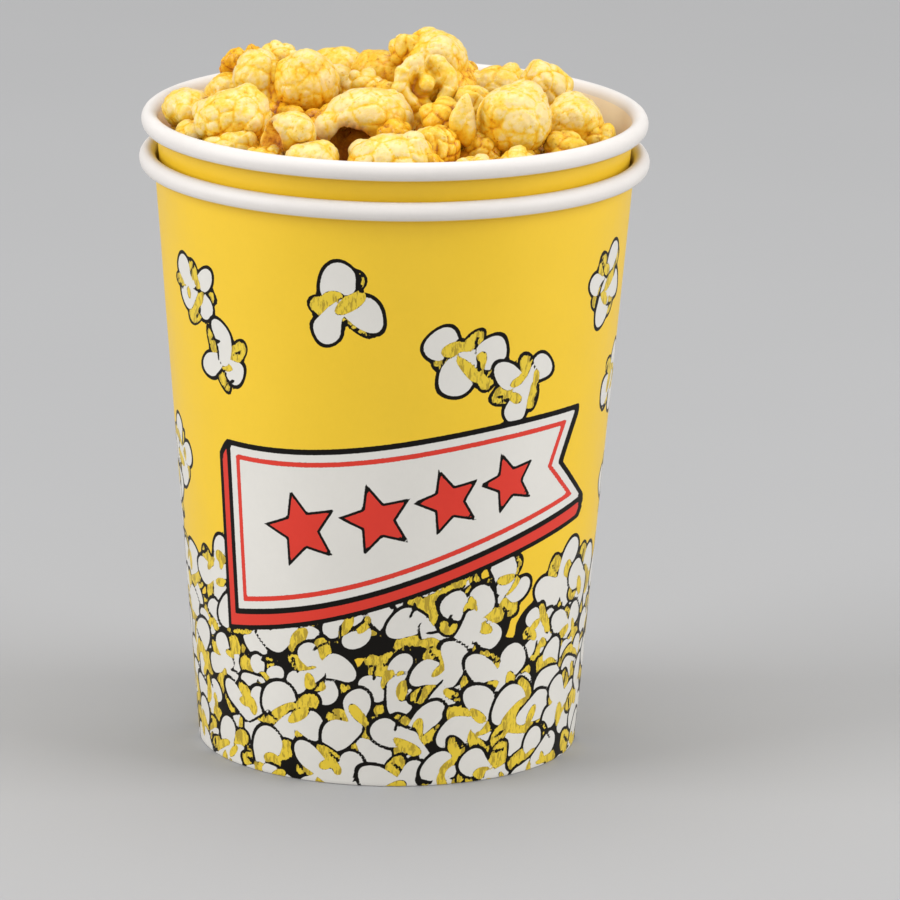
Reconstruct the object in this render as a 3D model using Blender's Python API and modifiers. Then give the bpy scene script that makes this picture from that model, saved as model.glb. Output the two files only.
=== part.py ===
"""Bucket of popcorn: two nested paper tubs with rolled rims, heaped with round popped corn.

Metres, +Z up. The origin is the middle of the lower tub's foot ring, on the surface that it
stands on. The printed front faces -Y.
"""

import math
import random

import bpy
from mathutils import Euler, Vector

# One paper tub. Every other size of the tubs follows from these.
RIM_RADIUS = 0.0800  # outside of the rolled rim
RIM_SPREAD = 0.0006  # the lower tub is held open by the upper one
RIM_TUBE = 0.0026  # half the roll's width
RIM_TUBE_TALL = 0.0031  # half its height
RIM_HEIGHT = 0.1891  # middle of the roll above the tub's own foot
FOOT_RADIUS = 0.0603
FOOT_ROUND = 0.0004
BOARD = 0.0005  # thickness of the paperboard
HEM = 0.0016  # wall, turned-in edge and the base's skirt together
BASE_RECESS = 0.0116  # underside of the base above the foot
GAP = 0.0003  # between pieces that touch
SIDES = 48
ROLL_STEPS = 4  # steps over each of the roll's two sides

# The upper tub stands on the lower tub's base.
NEST_LIFT = BASE_RECESS + BOARD + GAP

# The heap of popcorn: a mound, with the puffs that show fused to it.
MOUND_TOP = 0.2100
MOUND_FALL = 0.0170  # how far the mound drops from the middle to the wall
MOUND_DIP = 0.0120  # and how much more towards the back right
DIP_TURN = math.radians(37)  # direction of that dip, from +X
MOUND_RINGS = 5
BOTTOM_SLACK = 0.0006
PUFF_SLACK = 0.0006  # least space between a puff and the tub
FILL_RADIUS = 0.0680
FILL_COUNT = 190  # places tried, evenly spread
FILL_SIZES = (0.0088, 0.0118)
FILL_SINK = (-0.0010, 0.0040)  # lowest and highest middle of a puff over the mound
FILL_CROWDING = 0.86  # of the two radii: nearer than this to another puff, one is skipped
GOLDEN_TURN = math.radians(137.508)
SEED = 11

# Forms of popped corn, in units of a puff's radius: the body's half sizes, then the lobes'
# middles and radii.
PUFF_FORMS = {
    "round": (
        (0.97, 0.94, 0.92),
        ((0.34, 0.20, 0.36, 0.60), (-0.40, -0.12, 0.30, 0.58)),
    ),
    "oval": (
        (1.12, 0.86, 0.84),
        ((0.56, 0.10, 0.22, 0.54), (-0.58, 0.05, 0.12, 0.52)),
    ),
    "cap": (
        (1.12, 0.92, 0.76),
        ((-0.96, -0.14, -0.26, 0.42), (0.74, 0.16, -0.30, 0.48)),
    ),
    "curly": (
        (0.66, 0.58, 0.68),
        (
            (0.70, -0.42, 0.26, 0.38),
            (-0.66, -0.44, 0.30, 0.36),
            (0.04, -0.64, -0.56, 0.36),
            (-0.24, -0.24, 0.66, 0.42),
            (0.44, 0.04, 0.62, 0.42),
        ),
    ),
    "nub": ((0.92, 0.82, 0.80), ((0.46, 0.24, 0.34, 0.46),)),
    "leaf": ((0.50, 0.30, 0.98), ((0.00, 0.06, -0.40, 0.34),)),
}

# The puffs that show at the front: form, middle (x, y, z), radius, and turn about X, Y and Z
# in degrees. Millimetres.
FRONT_PUFFS = (
    ("round", (37.0, -38.0, 209.8), 12.2, (10, 0, 25)),
    ("leaf", (21.5, -46.0, 209.0), 9.6, (0, -8, 30)),
    ("nub", (27.0, -41.0, 199.6), 8.4, (0, 0, 250)),
    ("curly", (8.0, -15.0, 215.6), 10.0, (0, 0, 10)),
    ("round", (12.5, 6.0, 218.8), 11.2, (0, 0, 90)),
    ("nub", (4.0, 6.0, 222.8), 6.2, (0, 30, 130)),
    ("oval", (14.0, 2.0, 210.0), 12.0, (0, 0, 40)),
    ("cap", (-8.0, -30.0, 208.2), 12.6, (-12, 4, 8)),
    ("round", (-28.0, -8.0, 214.2), 11.2, (0, 30, 60)),
    ("oval", (-42.0, -4.0, 213.0), 10.4, (0, 70, 20)),
    ("nub", (-36.0, 4.0, 219.4), 6.6, (0, 0, 140)),
    ("curly", (-46.5, 22.0, 211.6), 7.8, (0, 0, 200)),
    ("round", (-52.0, 21.0, 203.0), 9.4, (0, 0, 50)),
    ("oval", (-50.5, -31.0, 207.6), 11.0, (0, -8, 12)),
    ("cap", (-65.0, -8.0, 205.6), 8.8, (0, 20, 80)),
    ("nub", (-62.0, -6.0, 198.6), 9.0, (0, 0, 160)),
    ("cap", (-33.0, -48.0, 205.8), 9.4, (0, 40, 110)),
    ("round", (-25.3, -59.0, 198.8), 8.6, (0, 0, 0)),
    ("oval", (-1.0, -58.0, 199.0), 12.2, (0, 0, 4)),
    ("nub", (13.0, -48.0, 202.8), 9.0, (0, 20, 100)),
    ("curly", (23.0, -58.0, 197.4), 8.6, (40, 0, 0)),
    ("nub", (15.0, -35.0, 208.8), 8.4, (0, 0, 60)),
    ("round", (56.0, -16.0, 203.4), 10.4, (20, 0, 90)),
    ("nub", (47.5, 6.0, 211.4), 9.0, (0, 40, 10)),
    ("round", (48.0, 8.0, 201.0), 9.6, (0, 0, 70)),
    ("nub", (53.0, -38.0, 200.4), 7.6, (0, 0, 200)),
    ("nub", (64.0, -22.0, 200.2), 6.4, (0, 0, 20)),
    ("oval", (-51.0, -42.0, 198.6), 8.2, (0, 0, 35)),
    ("nub", (-63.0, -26.0, 200.2), 7.4, (0, 0, 300)),
    ("cap", (-4.0, 14.0, 213.4), 9.6, (0, 0, 150)),
    ("round", (-18.0, 12.0, 206.8), 9.2, (0, 50, 10)),
    ("oval", (33.0, 26.0, 205.6), 9.6, (0, 0, 30)),
    ("nub", (38.0, -56.0, 199.2), 6.8, (0, 0, 80)),
    ("nub", (-40.0, -55.0, 198.6), 6.8, (0, 0, 10)),
)

MILLIMETRE = 0.001
# Level directions in which a puff is held against the wall.
WALL_WAYS = [Vector((math.cos(i * math.pi / 12), math.sin(i * math.pi / 12), 0)) for i in range(24)]
SMALL_LOBE = 0.0052  # lobes under this radius have the fewest sides


def clear_scene():
    for obj in list(bpy.data.objects):
        bpy.data.objects.remove(obj)


def make_collection(name):
    collection = bpy.data.collections.new(name)
    bpy.context.scene.collection.children.link(collection)
    return collection


def make_material(name, colour, roughness):
    material = bpy.data.materials.new(name)
    material.use_nodes = True
    shader = material.node_tree.nodes["Principled BSDF"]
    shader.inputs["Base Color"].default_value = (*colour, 1.0)
    shader.inputs["Roughness"].default_value = roughness
    shader.inputs["Metallic"].default_value = 0.0
    return material


def wall_outside(rim_radius, height):
    """Outer radius of a tub's wall at a height above its own foot."""
    top = rim_radius - 2 * RIM_TUBE + BOARD
    return FOOT_RADIUS + (top - FOOT_RADIUS) * height / RIM_HEIGHT


def tub_profile(rim_radius):
    """Half section of a tub: out along the base, up the inner wall, over the roll, down the
    outer wall, round the foot and back under the base."""
    roll_middle = rim_radius - RIM_TUBE
    joins_wall = -math.acos((BOARD - RIM_TUBE) / RIM_TUBE)
    base_top = BASE_RECESS + BOARD
    points = [(0.0, base_top), (wall_outside(rim_radius, base_top) - BOARD, base_top)]
    for start, end in ((math.pi, 0.0), (0.0, joins_wall)):
        for step in range(ROLL_STEPS + (end != 0.0)):
            angle = start + (end - start) * step / ROLL_STEPS
            across = roll_middle + RIM_TUBE * math.cos(angle)
            points.append((across, RIM_HEIGHT + RIM_TUBE_TALL * math.sin(angle)))
    hem_inside = FOOT_RADIUS - HEM
    points += [
        (wall_outside(rim_radius, FOOT_ROUND), FOOT_ROUND),
        (FOOT_RADIUS - FOOT_ROUND, 0.0),
        (hem_inside + FOOT_ROUND, 0.0),
        (hem_inside, FOOT_ROUND),
        (wall_outside(rim_radius, BASE_RECESS) - HEM, BASE_RECESS),
        (0.0, BASE_RECESS),
    ]
    return points


def turned(name, profile, foot, material, collection):
    """A solid turned about Z from a half section at +X."""
    mesh = bpy.data.meshes.new(name)
    corners = [(across, 0.0, height) for across, height in profile]
    mesh.from_pydata(corners, [(i, i + 1) for i in range(len(corners) - 1)], [])
    obj = bpy.data.objects.new(name, mesh)
    obj.location = (0.0, 0.0, foot)
    obj.data.materials.append(material)
    collection.objects.link(obj)
    screw = obj.modifiers.new("turn", "SCREW")
    screw.axis = "Z"
    screw.steps = screw.render_steps = SIDES
    screw.use_merge_vertices = True
    screw.merge_threshold = 0.00005
    return obj


def apply_modifiers(obj, material):
    """Make an object's mesh what its modifiers give."""
    bpy.context.view_layer.update()
    graph = bpy.context.evaluated_depsgraph_get()
    obj.data = bpy.data.meshes.new_from_object(obj.evaluated_get(graph))
    obj.modifiers.clear()
    obj.data.materials.clear()
    obj.data.materials.append(material)
    obj.data.shade_smooth()
    obj.data.set_sharp_from_angle(angle=math.radians(40))


def make_tub(name, rim_radius, foot, material, collection):
    tub = turned(name, tub_profile(rim_radius), foot, material, collection)
    apply_modifiers(tub, material)


def cavity_radius(height):
    """Inner radius of the upper tub at a height above the floor."""
    return wall_outside(RIM_RADIUS, min(height - NEST_LIFT, RIM_HEIGHT)) - BOARD


def mound_height(x, y):
    """Height of the bare mound at a place."""
    reach = cavity_radius(MOUND_TOP)
    aside = max((x * math.cos(DIP_TURN) + y * math.sin(DIP_TURN)) / reach, 0.0)
    return MOUND_TOP - MOUND_FALL * (x * x + y * y) / reach**2 - MOUND_DIP * aside**2


def mound_profile():
    """Half section of the bare mound without its dip, from the top down the tub's wall to
    the base."""
    floor = NEST_LIFT + BASE_RECESS + BOARD + BOTTOM_SLACK
    edge = mound_height(-cavity_radius(MOUND_TOP), 0.0)
    brink = cavity_radius(edge - MOUND_DIP) - PUFF_SLACK
    points = []
    for ring in range(MOUND_RINGS + 1):
        across = brink * ring / MOUND_RINGS
        points.append((across, mound_height(-across, 0.0)))
    points.append((cavity_radius(floor) - PUFF_SLACK, floor))
    points.append((0.0, floor))
    return points


def puff_reach(form, turn, way):
    """How far a puff of radius 1 reaches from its middle in a direction."""
    body, lobes = PUFF_FORMS[form]
    way = Euler([math.radians(angle) for angle in turn]).to_matrix().transposed() @ way
    reach = Vector(side * part for side, part in zip(body, way)).length
    return max([reach, *(Vector(lobe[:3]).dot(way) + lobe[3] for lobe in lobes)])


def inside_tub(middle, form, radius, turn):
    """The puff's middle, drawn in towards the axis until all of it clears the wall."""
    middle = Vector(middle)
    for _ in range(2):
        over = PUFF_SLACK - cavity_radius(middle.z)
        over += max(
            middle.dot(way) + radius * puff_reach(form, turn, way) for way in WALL_WAYS
        )
        if over > 0:
            middle -= Vector((middle.x, middle.y, 0)).normalized() * over
    return middle


def all_puffs():
    """Form, middle, radius and turn of every puff: those at the front, and a seeded spiral
    that fills the rest of the mound."""
    puffs = []
    for form, middle, radius, turn in FRONT_PUFFS:
        middle = Vector(middle) * MILLIMETRE
        radius = radius * MILLIMETRE
        puffs.append((form, inside_tub(middle, form, radius, turn), radius, turn))
    draw = random.Random(SEED)
    forms = ("round", "nub", "oval", "nub")
    for index in range(FILL_COUNT):
        across = FILL_RADIUS * math.sqrt((index + 0.5) / FILL_COUNT)
        angle = index * GOLDEN_TURN
        radius = draw.uniform(*FILL_SIZES)
        x, y = across * math.cos(angle), across * math.sin(angle)
        height = mound_height(x, y) + draw.uniform(*FILL_SINK)
        turn = tuple(draw.uniform(0, 360) for _ in range(3))
        form = forms[draw.randrange(len(forms))]
        middle = Vector((x, y, height))
        middle = inside_tub(middle, form, radius, turn)
        if all(
            (middle - other).length > FILL_CROWDING * (radius + size)
            for _, other, size, _ in puffs
        ):
            puffs.append((form, middle, radius, turn))
    return puffs


def add_ball(middle, size, turn, subdivisions, collection):
    """A faceted ball or ellipsoid, its size applied to its mesh."""
    bpy.ops.mesh.primitive_ico_sphere_add(subdivisions=subdivisions, radius=1.0)
    ball = bpy.context.object
    for vertex in ball.data.vertices:
        vertex.co = Vector(c * s for c, s in zip(vertex.co, size))
    ball.rotation_euler = [math.radians(angle) for angle in turn]
    ball.location = middle
    for home in list(ball.users_collection):
        home.objects.unlink(ball)
    collection.objects.link(ball)


def add_puff(form, middle, radius, turn, collection):
    body, lobes = PUFF_FORMS[form]
    rotation = Euler([math.radians(angle) for angle in turn]).to_matrix()
    add_ball(middle, [radius * side for side in body], turn, 2, collection)
    for x, y, z, size in lobes:
        place = middle + rotation @ Vector((x, y, z)) * radius
        size *= radius
        add_ball(place, [size] * 3, turn, 1 if size < SMALL_LOBE else 2, collection)


def make_heap(material, collection):
    """The mound with its puffs, joined into one solid."""
    heap = turned("popcorn", mound_profile(), 0.0, material, collection)
    apply_modifiers(heap, material)
    wall_foot = mound_height(-cavity_radius(MOUND_TOP), 0.0) - MOUND_DIP
    for vertex in heap.data.vertices:
        if vertex.co.z > wall_foot:
            vertex.co.z = mound_height(vertex.co.x, vertex.co.y)
    loose = make_collection("puffs")
    for form, middle, radius, turn in all_puffs():
        add_puff(form, middle, radius, turn, loose)
    union = heap.modifiers.new("fuse", "BOOLEAN")
    union.operation = "UNION"
    union.operand_type = "COLLECTION"
    union.collection = loose
    union.solver = "EXACT"
    apply_modifiers(heap, material)
    for ball in list(loose.objects):
        bpy.data.objects.remove(ball)
    bpy.data.collections.remove(loose)


def main():
    clear_scene()
    bucket = make_collection("bucket_of_popcorn")
    board = make_material("printed board", (0.83, 0.58, 0.05), 0.45)
    corn = make_material("popcorn", (0.90, 0.62, 0.20), 0.55)
    make_tub("outer_tub", RIM_RADIUS + RIM_SPREAD, 0.0, board, bucket)
    make_tub("inner_tub", RIM_RADIUS, NEST_LIFT, board, bucket)
    make_heap(corn, bucket)


main()
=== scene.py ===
"""Looks of the bucket of popcorn: two nested printed tubs, heaped with buttered popcorn.

Metres, +Z up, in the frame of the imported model. The printed front faces -Y.
"""

import logging
import math
import random
from dataclasses import dataclass
from enum import Enum
from typing import Any, Iterable, Optional, Sequence

import bpy
import numpy as np
from mathutils import Euler, Matrix, Vector


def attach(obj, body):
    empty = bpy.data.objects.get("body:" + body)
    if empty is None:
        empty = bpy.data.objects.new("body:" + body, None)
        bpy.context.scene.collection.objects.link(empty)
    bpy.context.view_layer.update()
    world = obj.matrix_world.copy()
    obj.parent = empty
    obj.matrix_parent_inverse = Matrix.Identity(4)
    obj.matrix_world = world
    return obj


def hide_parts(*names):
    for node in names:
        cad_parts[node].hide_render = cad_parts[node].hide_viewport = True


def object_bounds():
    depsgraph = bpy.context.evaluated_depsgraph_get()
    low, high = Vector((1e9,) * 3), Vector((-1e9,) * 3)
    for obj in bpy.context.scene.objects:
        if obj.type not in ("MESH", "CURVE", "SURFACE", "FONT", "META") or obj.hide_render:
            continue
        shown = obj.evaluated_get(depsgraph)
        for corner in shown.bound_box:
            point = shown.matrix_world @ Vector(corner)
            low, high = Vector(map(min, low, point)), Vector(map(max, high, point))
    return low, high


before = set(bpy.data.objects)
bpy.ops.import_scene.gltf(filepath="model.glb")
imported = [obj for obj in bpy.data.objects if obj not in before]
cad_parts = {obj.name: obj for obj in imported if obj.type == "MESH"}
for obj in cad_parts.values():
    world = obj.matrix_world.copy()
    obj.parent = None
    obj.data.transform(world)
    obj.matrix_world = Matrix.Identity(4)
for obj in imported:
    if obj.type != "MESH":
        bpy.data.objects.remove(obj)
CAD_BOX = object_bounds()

LOG = logging.getLogger("bucket_of_popcorn")
MM = 0.001
BODY = "root"
Triple = tuple[float, float, float]
Range = tuple[float, float]
YELLOW: Triple = (0.805, 0.522, 0.020)  # of both tubs' walls
NEST_GAP = 0.0003  # from the lower tub's base up to the upper tub's foot


# Small helpers for objects and meshes


def deselect() -> None:
    """Leave object mode with nothing selected."""
    if bpy.context.object is not None and bpy.context.object.mode != "OBJECT":
        bpy.ops.object.mode_set(mode="OBJECT")
    bpy.ops.object.select_all(action="DESELECT")


def activate(*objects: bpy.types.Object) -> bpy.types.Object:
    """Select only these objects.

    Args:
        objects: What to select, the one to be active first.

    Returns:
        The active one.
    """
    deselect()
    for obj in objects:
        obj.select_set(True)
    bpy.context.view_layer.objects.active = objects[0]
    return objects[0]


def settle(obj: bpy.types.Object) -> None:
    """Move an object's place, turn and size into its mesh."""
    activate(obj)
    bpy.ops.object.transform_apply(location=True, rotation=True, scale=True)


def apply_modifier(obj: bpy.types.Object, kind: str, **settings: Any) -> None:
    """Add one modifier and apply it.

    Args:
        obj: What it changes.
        kind: The modifier's type.
        settings: Its settings by name.
    """
    activate(obj)
    modifier = obj.modifiers.new("shape", kind)
    for name, value in settings.items():
        setattr(modifier, name, value)
    bpy.ops.object.modifier_apply(modifier=modifier.name)


def turned(angles: Triple) -> Euler:
    """A turn from its three angles in degrees."""
    return Euler([math.radians(angle) for angle in angles])


def joined_balls(balls: Iterable[tuple[Vector, float, Sequence[float], Triple]]) -> bpy.types.Object:
    """Join balls to one mesh, which a Remesh can fuse.

    Args:
        balls: Middle, radius, stretch along its own axes and turn in degrees of each.

    Returns:
        The mesh in place, with the balls' hidden faces still in it.
    """
    made = []
    deselect()
    for middle, radius, stretch, turn in balls:
        bpy.ops.mesh.primitive_ico_sphere_add(
            subdivisions=3, radius=radius, location=middle, rotation=turned(turn), scale=stretch
        )
        made.append(bpy.context.object)
    obj = activate(*made)
    bpy.ops.object.join()
    settle(obj)
    return obj


def read_points(mesh: bpy.types.Mesh) -> np.ndarray:
    """The mesh's points, one row each."""
    flat = np.empty(len(mesh.vertices) * 3)
    mesh.vertices.foreach_get("co", flat)
    return flat.reshape(-1, 3)


def write_points(mesh: bpy.types.Mesh, points: np.ndarray) -> None:
    """Move the mesh's points to these places."""
    mesh.vertices.foreach_set("co", points.ravel())
    mesh.update()


def read_normals(mesh: bpy.types.Mesh) -> np.ndarray:
    """The outward direction at each point."""
    flat = np.empty(len(mesh.vertices) * 3, dtype=np.float32)
    mesh.vertex_normals.foreach_get("vector", flat)
    return flat.reshape(-1, 3).astype(float)


def read_edges(mesh: bpy.types.Mesh) -> np.ndarray:
    """Both point numbers of each edge."""
    flat = np.empty(len(mesh.edges) * 2, dtype=np.int32)
    mesh.edges.foreach_get("vertices", flat)
    return flat.reshape(-1, 2)


def write_value(mesh: bpy.types.Mesh, name: str, values: np.ndarray) -> None:
    """Keep one number for each point under a name that a material can read."""
    attribute = mesh.attributes.new(name, "FLOAT", "POINT")
    attribute.data.foreach_set("value", np.ascontiguousarray(values, dtype=np.float32))


def relaxed(points: np.ndarray, edges: np.ndarray, rounds: int, pull: float = 0.5) -> np.ndarray:
    """Points drawn towards the average of their neighbours.

    Args:
        points: One row for each point.
        edges: Both point numbers of each edge.
        rounds: How often it is done.
        pull: How far each round moves a point, from 0 to 1.

    Returns:
        The moved points.
    """
    count = len(points)
    ends = np.concatenate([edges[:, 0], edges[:, 1]])
    others = np.concatenate([edges[:, 1], edges[:, 0]])
    degree = np.maximum(np.bincount(ends, minlength=count), 1)
    moved = points.copy()
    for _ in range(rounds):
        total = np.stack(
            [np.bincount(ends, weights=moved[others, axis], minlength=count) for axis in range(3)],
            axis=1,
        )
        moved += (total / degree[:, None] - moved) * pull
    return moved


def rolling(points: np.ndarray, length: float, draw: np.random.Generator) -> np.ndarray:
    """Smooth random hills from -1 to 1.

    Args:
        points: Where they are wanted.
        length: Distance from hill to hill.
        draw: Source of the random directions.

    Returns:
        One height for each point.
    """
    total = np.zeros(len(points))
    waves, crest = 7, 1.4  # the crest brings nearly all hills between -1 and 1
    for _ in range(waves):
        direction = draw.normal(size=3)
        direction /= np.linalg.norm(direction)
        pitch = length * draw.uniform(0.7, 1.4)
        total += np.sin(points @ direction * (2 * math.pi / pitch) + draw.uniform(0, 2 * math.pi))
    return total / math.sqrt(waves) / crest


def smoothstep(values: np.ndarray, low: float, high: float) -> np.ndarray:
    """0 below low, 1 above high and a smooth rise between."""
    t = np.clip((values - low) / (high - low), 0.0, 1.0)
    return t * t * (3 - 2 * t)


def place_piece(
    obj: bpy.types.Object, name: str, node: str, materials: Iterable[bpy.types.Material]
) -> bpy.types.Object:
    """Name a finished piece, dress it and tell the frame what it stands for.

    Args:
        obj: The piece, its place already in its mesh.
        name: The piece's name.
        node: The CAD node that it replaces.
        materials: Its materials, in the order of its slots.

    Returns:
        The same piece.
    """
    obj.name = obj.data.name = name
    obj.data.materials.clear()
    for material in materials:
        obj.data.materials.append(material)
    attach(obj, BODY)
    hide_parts(node)
    triangles = sum(len(face.vertices) - 2 for face in obj.data.polygons)
    LOG.info("%s: %d triangles, stands for %s", name, triangles, node)
    return obj


# Materials


class Pen:
    """Adds nodes to one node tree and links them."""

    def __init__(self, tree: bpy.types.NodeTree) -> None:
        """Keep the tree that nodes are added to."""
        self.tree = tree

    def add(self, kind: str, feeds: Optional[dict[Any, Any]] = None, **settings: Any) -> bpy.types.Node:
        """Add one node.

        Args:
            kind: The node's type.
            feeds: What goes into its inputs, by their names or numbers.
            settings: Its settings by name.

        Returns:
            The node.
        """
        node = self.tree.nodes.new(kind)
        for name, value in settings.items():
            setattr(node, name, value)
        for key, value in (feeds or {}).items():
            self.feed(node.inputs[key], value)
        return node

    def feed(self, socket: bpy.types.NodeSocket, value: Any) -> None:
        """Link another node's socket to this one, or set a plain value on it.

        Args:
            socket: What is fed.
            value: An output socket, a number or a colour.
        """
        if isinstance(value, bpy.types.NodeSocket):
            self.tree.links.new(value, socket)
        elif isinstance(value, tuple) and len(value) == 3 and socket.type == "RGBA":
            socket.default_value = (*value, 1.0)
        else:
            socket.default_value = value

    def math(self, operation: str, first: Any, second: Any = 0.0, clamp: bool = False) -> Any:
        """One Math node's result, kept between 0 and 1 where clamp says so."""
        feeds = {0: first, 1: second}
        return self.add("ShaderNodeMath", feeds, operation=operation, use_clamp=clamp).outputs[0]

    def total(self, start: Any, *parts: tuple[Any, float]) -> Any:
        """Add parts to a start.

        Args:
            start: A number or socket.
            parts: Each part's socket, and what it is multiplied by.

        Returns:
            The sum's socket.
        """
        for part, share in parts:
            start = self.math("ADD", start, self.math("MULTIPLY", part, share))
        return start

    def around_zero(self, spots: Any) -> Any:
        """A noise's value, moved so that its middle is 0."""
        return self.math("SUBTRACT", spots, 0.5)

    def fit(self, value: Any, source: Range, target: tuple[Any, Any]) -> Any:
        """A value moved from one range to another, clamped to its ends."""
        feeds = dict(enumerate((value, *source, *target)))
        return self.add("ShaderNodeMapRange", feeds).outputs[0]

    def mix(self, factor: Any, first: Any, second: Any, blend: str = "MIX") -> Any:
        """Two colours mixed, with this much of the second."""
        feeds = {"Factor": factor, 6: first, 7: second}
        return self.add("ShaderNodeMix", feeds, data_type="RGBA", blend_type=blend).outputs[2]

    def shade(self, colour: Any, tone: Any) -> Any:
        """A colour made darker by a tone below 1 and lighter by one above."""
        grey = self.add("ShaderNodeCombineColor", {0: tone, 1: tone, 2: tone})
        return self.mix(1.0, colour, grey.outputs[0], "MULTIPLY")

    def noise(self, vector: Any, scale: float, detail: float = 3.0, rough: float = 0.55) -> Any:
        """Random spots, so many to the metre, from 0 to 1 and mostly near 0.5."""
        feeds = {"Vector": vector, "Scale": scale, "Detail": detail, "Roughness": rough}
        return self.add("ShaderNodeTexNoise", feeds).outputs["Fac"]

    def ramp(self, factor: Any, stops: Sequence[tuple[float, Triple]]) -> Any:
        """Turn a number into a colour.

        Args:
            factor: The number's socket.
            stops: Places from 0 to 1, and the colour at each.

        Returns:
            The colour's socket.
        """
        node = self.add("ShaderNodeValToRGB")
        elements = node.color_ramp.elements
        while len(elements) < len(stops):
            elements.new(0.5)
        for element, (place, colour) in zip(elements, stops):
            element.position = place
            element.color = (*colour, 1.0)
        self.feed(node.inputs[0], factor)
        return node.outputs[0]

    def stored(self, name: str) -> Any:
        """The number that the mesh keeps under this name."""
        return self.add("ShaderNodeAttribute", attribute_name=name).outputs["Fac"]

    def place(self) -> Any:
        """Object coordinates."""
        return self.add("ShaderNodeTexCoord").outputs["Object"]


def new_group(
    name: str, inputs: Sequence[tuple[str, float]], outputs: Sequence[tuple[str, str]]
) -> tuple[bpy.types.NodeTree, bpy.types.Node, bpy.types.Node]:
    """Start a shader node group.

    Args:
        name: The group's name.
        inputs: Name and usual value of each number that goes in.
        outputs: Name and socket type of each result.

    Returns:
        The group, the node that its inputs come from and the node that takes its results.
    """
    group = bpy.data.node_groups.new(name, "ShaderNodeTree")
    for label, usual in inputs:
        socket = group.interface.new_socket(label, in_out="INPUT", socket_type="NodeSocketFloat")
        socket.default_value = usual
    for label, kind in outputs:
        group.interface.new_socket(label, in_out="OUTPUT", socket_type=kind)
    return group, group.nodes.new("NodeGroupInput"), group.nodes.new("NodeGroupOutput")


def board_grain_group() -> bpy.types.NodeTree:
    """Fibre, calender marks and faint mottling of coated paperboard.

    Returns:
        A group that gives Tone around 1, Rough around 0 and a bump's Height.
    """
    group, source, result = new_group(
        "board_grain",
        [("Fibre", 1.0), ("Mottle", 1.0)],
        [("Tone", "NodeSocketFloat"), ("Rough", "NodeSocketFloat"), ("Height", "NodeSocketFloat")],
    )
    pen = Pen(group)
    where = pen.place()
    stretch = pen.add("ShaderNodeMapping", {"Vector": where, "Scale": (1.0, 1.0, 0.35)})
    fibre = pen.noise(stretch.outputs[0], 1900.0, 4.0, 0.6)
    cloud = pen.noise(where, 42.0, 4.0, 0.55)
    speck = pen.noise(where, 420.0, 3.0, 0.6)
    fibre = pen.math("MULTIPLY", pen.around_zero(fibre), source.outputs["Fibre"])
    cloud = pen.math("MULTIPLY", pen.around_zero(cloud), source.outputs["Mottle"])
    speck = pen.math("MULTIPLY", pen.around_zero(speck), source.outputs["Mottle"])
    pen.feed(result.inputs["Tone"], pen.total(1.0, (cloud, 0.07), (speck, 0.04), (fibre, 0.03)))
    pen.feed(result.inputs["Rough"], pen.total(0.0, (cloud, 0.22), (speck, 0.12)))
    pen.feed(result.inputs["Height"], pen.total(fibre, (speck, 0.8)))
    return group


def corn_skin_group() -> bpy.types.NodeTree:
    """Butter glaze over popped corn, with painted shade: pale where it stands proud, amber in its folds, on
    its underside and where puffs touch.

    Returns:
        A group that gives Colour, Rough and a bump's Height.
    """
    group, source, result = new_group(
        "corn_skin",
        [("Fold", 0.0), ("Toast", 0.2), ("Scorch", 0.0)],
        [("Colour", "NodeSocketColor"), ("Rough", "NodeSocketFloat"), ("Height", "NodeSocketFloat")],
    )
    pen = Pen(group)
    where = pen.place()
    patch = pen.noise(where, 120.0, 3.0, 0.6)
    middling = pen.noise(where, 380.0, 3.0, 0.6)
    fine = pen.noise(where, 620.0, 4.0, 0.65)
    grain = pen.noise(where, 1700.0, 2.0, 0.6)
    fold_shade, toast_and_shade = source.outputs["Fold"], source.outputs["Toast"]
    mottling = ((patch, 0.60), (middling, 0.62), (fine, 0.42))
    mottling = [(pen.around_zero(spots), share) for spots, share in mottling]
    # Painted shade: the stored fold shade, and for the sunk puffs and the core also the toast value, darken
    # the glaze from pale yellow to amber and brown.
    depth = pen.total(pen.math("MULTIPLY", fold_shade, 0.70), *mottling)
    depth = pen.math("ADD", depth, pen.math("MULTIPLY", toast_and_shade, 0.42), clamp=True)
    skin = pen.ramp(
        depth,
        [
            (0.00, (0.765, 0.590, 0.255)),
            (0.10, (0.770, 0.555, 0.125)),
            (0.22, (0.770, 0.500, 0.044)),
            (0.44, (0.750, 0.385, 0.009)),
            (0.70, (0.55, 0.21, 0.004)),
            (1.00, (0.24, 0.06, 0.003)),
        ],
    )
    fleck = pen.fit(pen.total(fine, (toast_and_shade, 0.10)), (0.64, 0.72), (0.0, 0.55))
    skin = pen.mix(fleck, skin, (0.36, 0.125, 0.010))
    hull = pen.ramp(
        pen.math("ADD", patch, pen.around_zero(fine), clamp=True),
        [(0.30, (0.22, 0.055, 0.003)), (0.52, (0.55, 0.205, 0.009)), (0.75, (0.80, 0.44, 0.035))],
    )
    pen.feed(result.inputs["Colour"], pen.mix(source.outputs["Scorch"], skin, hull))
    rough = pen.fit(pen.math("ADD", fine, fold_shade), (0.3, 1.3), (0.32, 0.60))
    pen.feed(result.inputs["Rough"], rough)
    pen.feed(result.inputs["Height"], pen.total(fine, (patch, 0.6), (grain, 0.35)))
    return group


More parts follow.
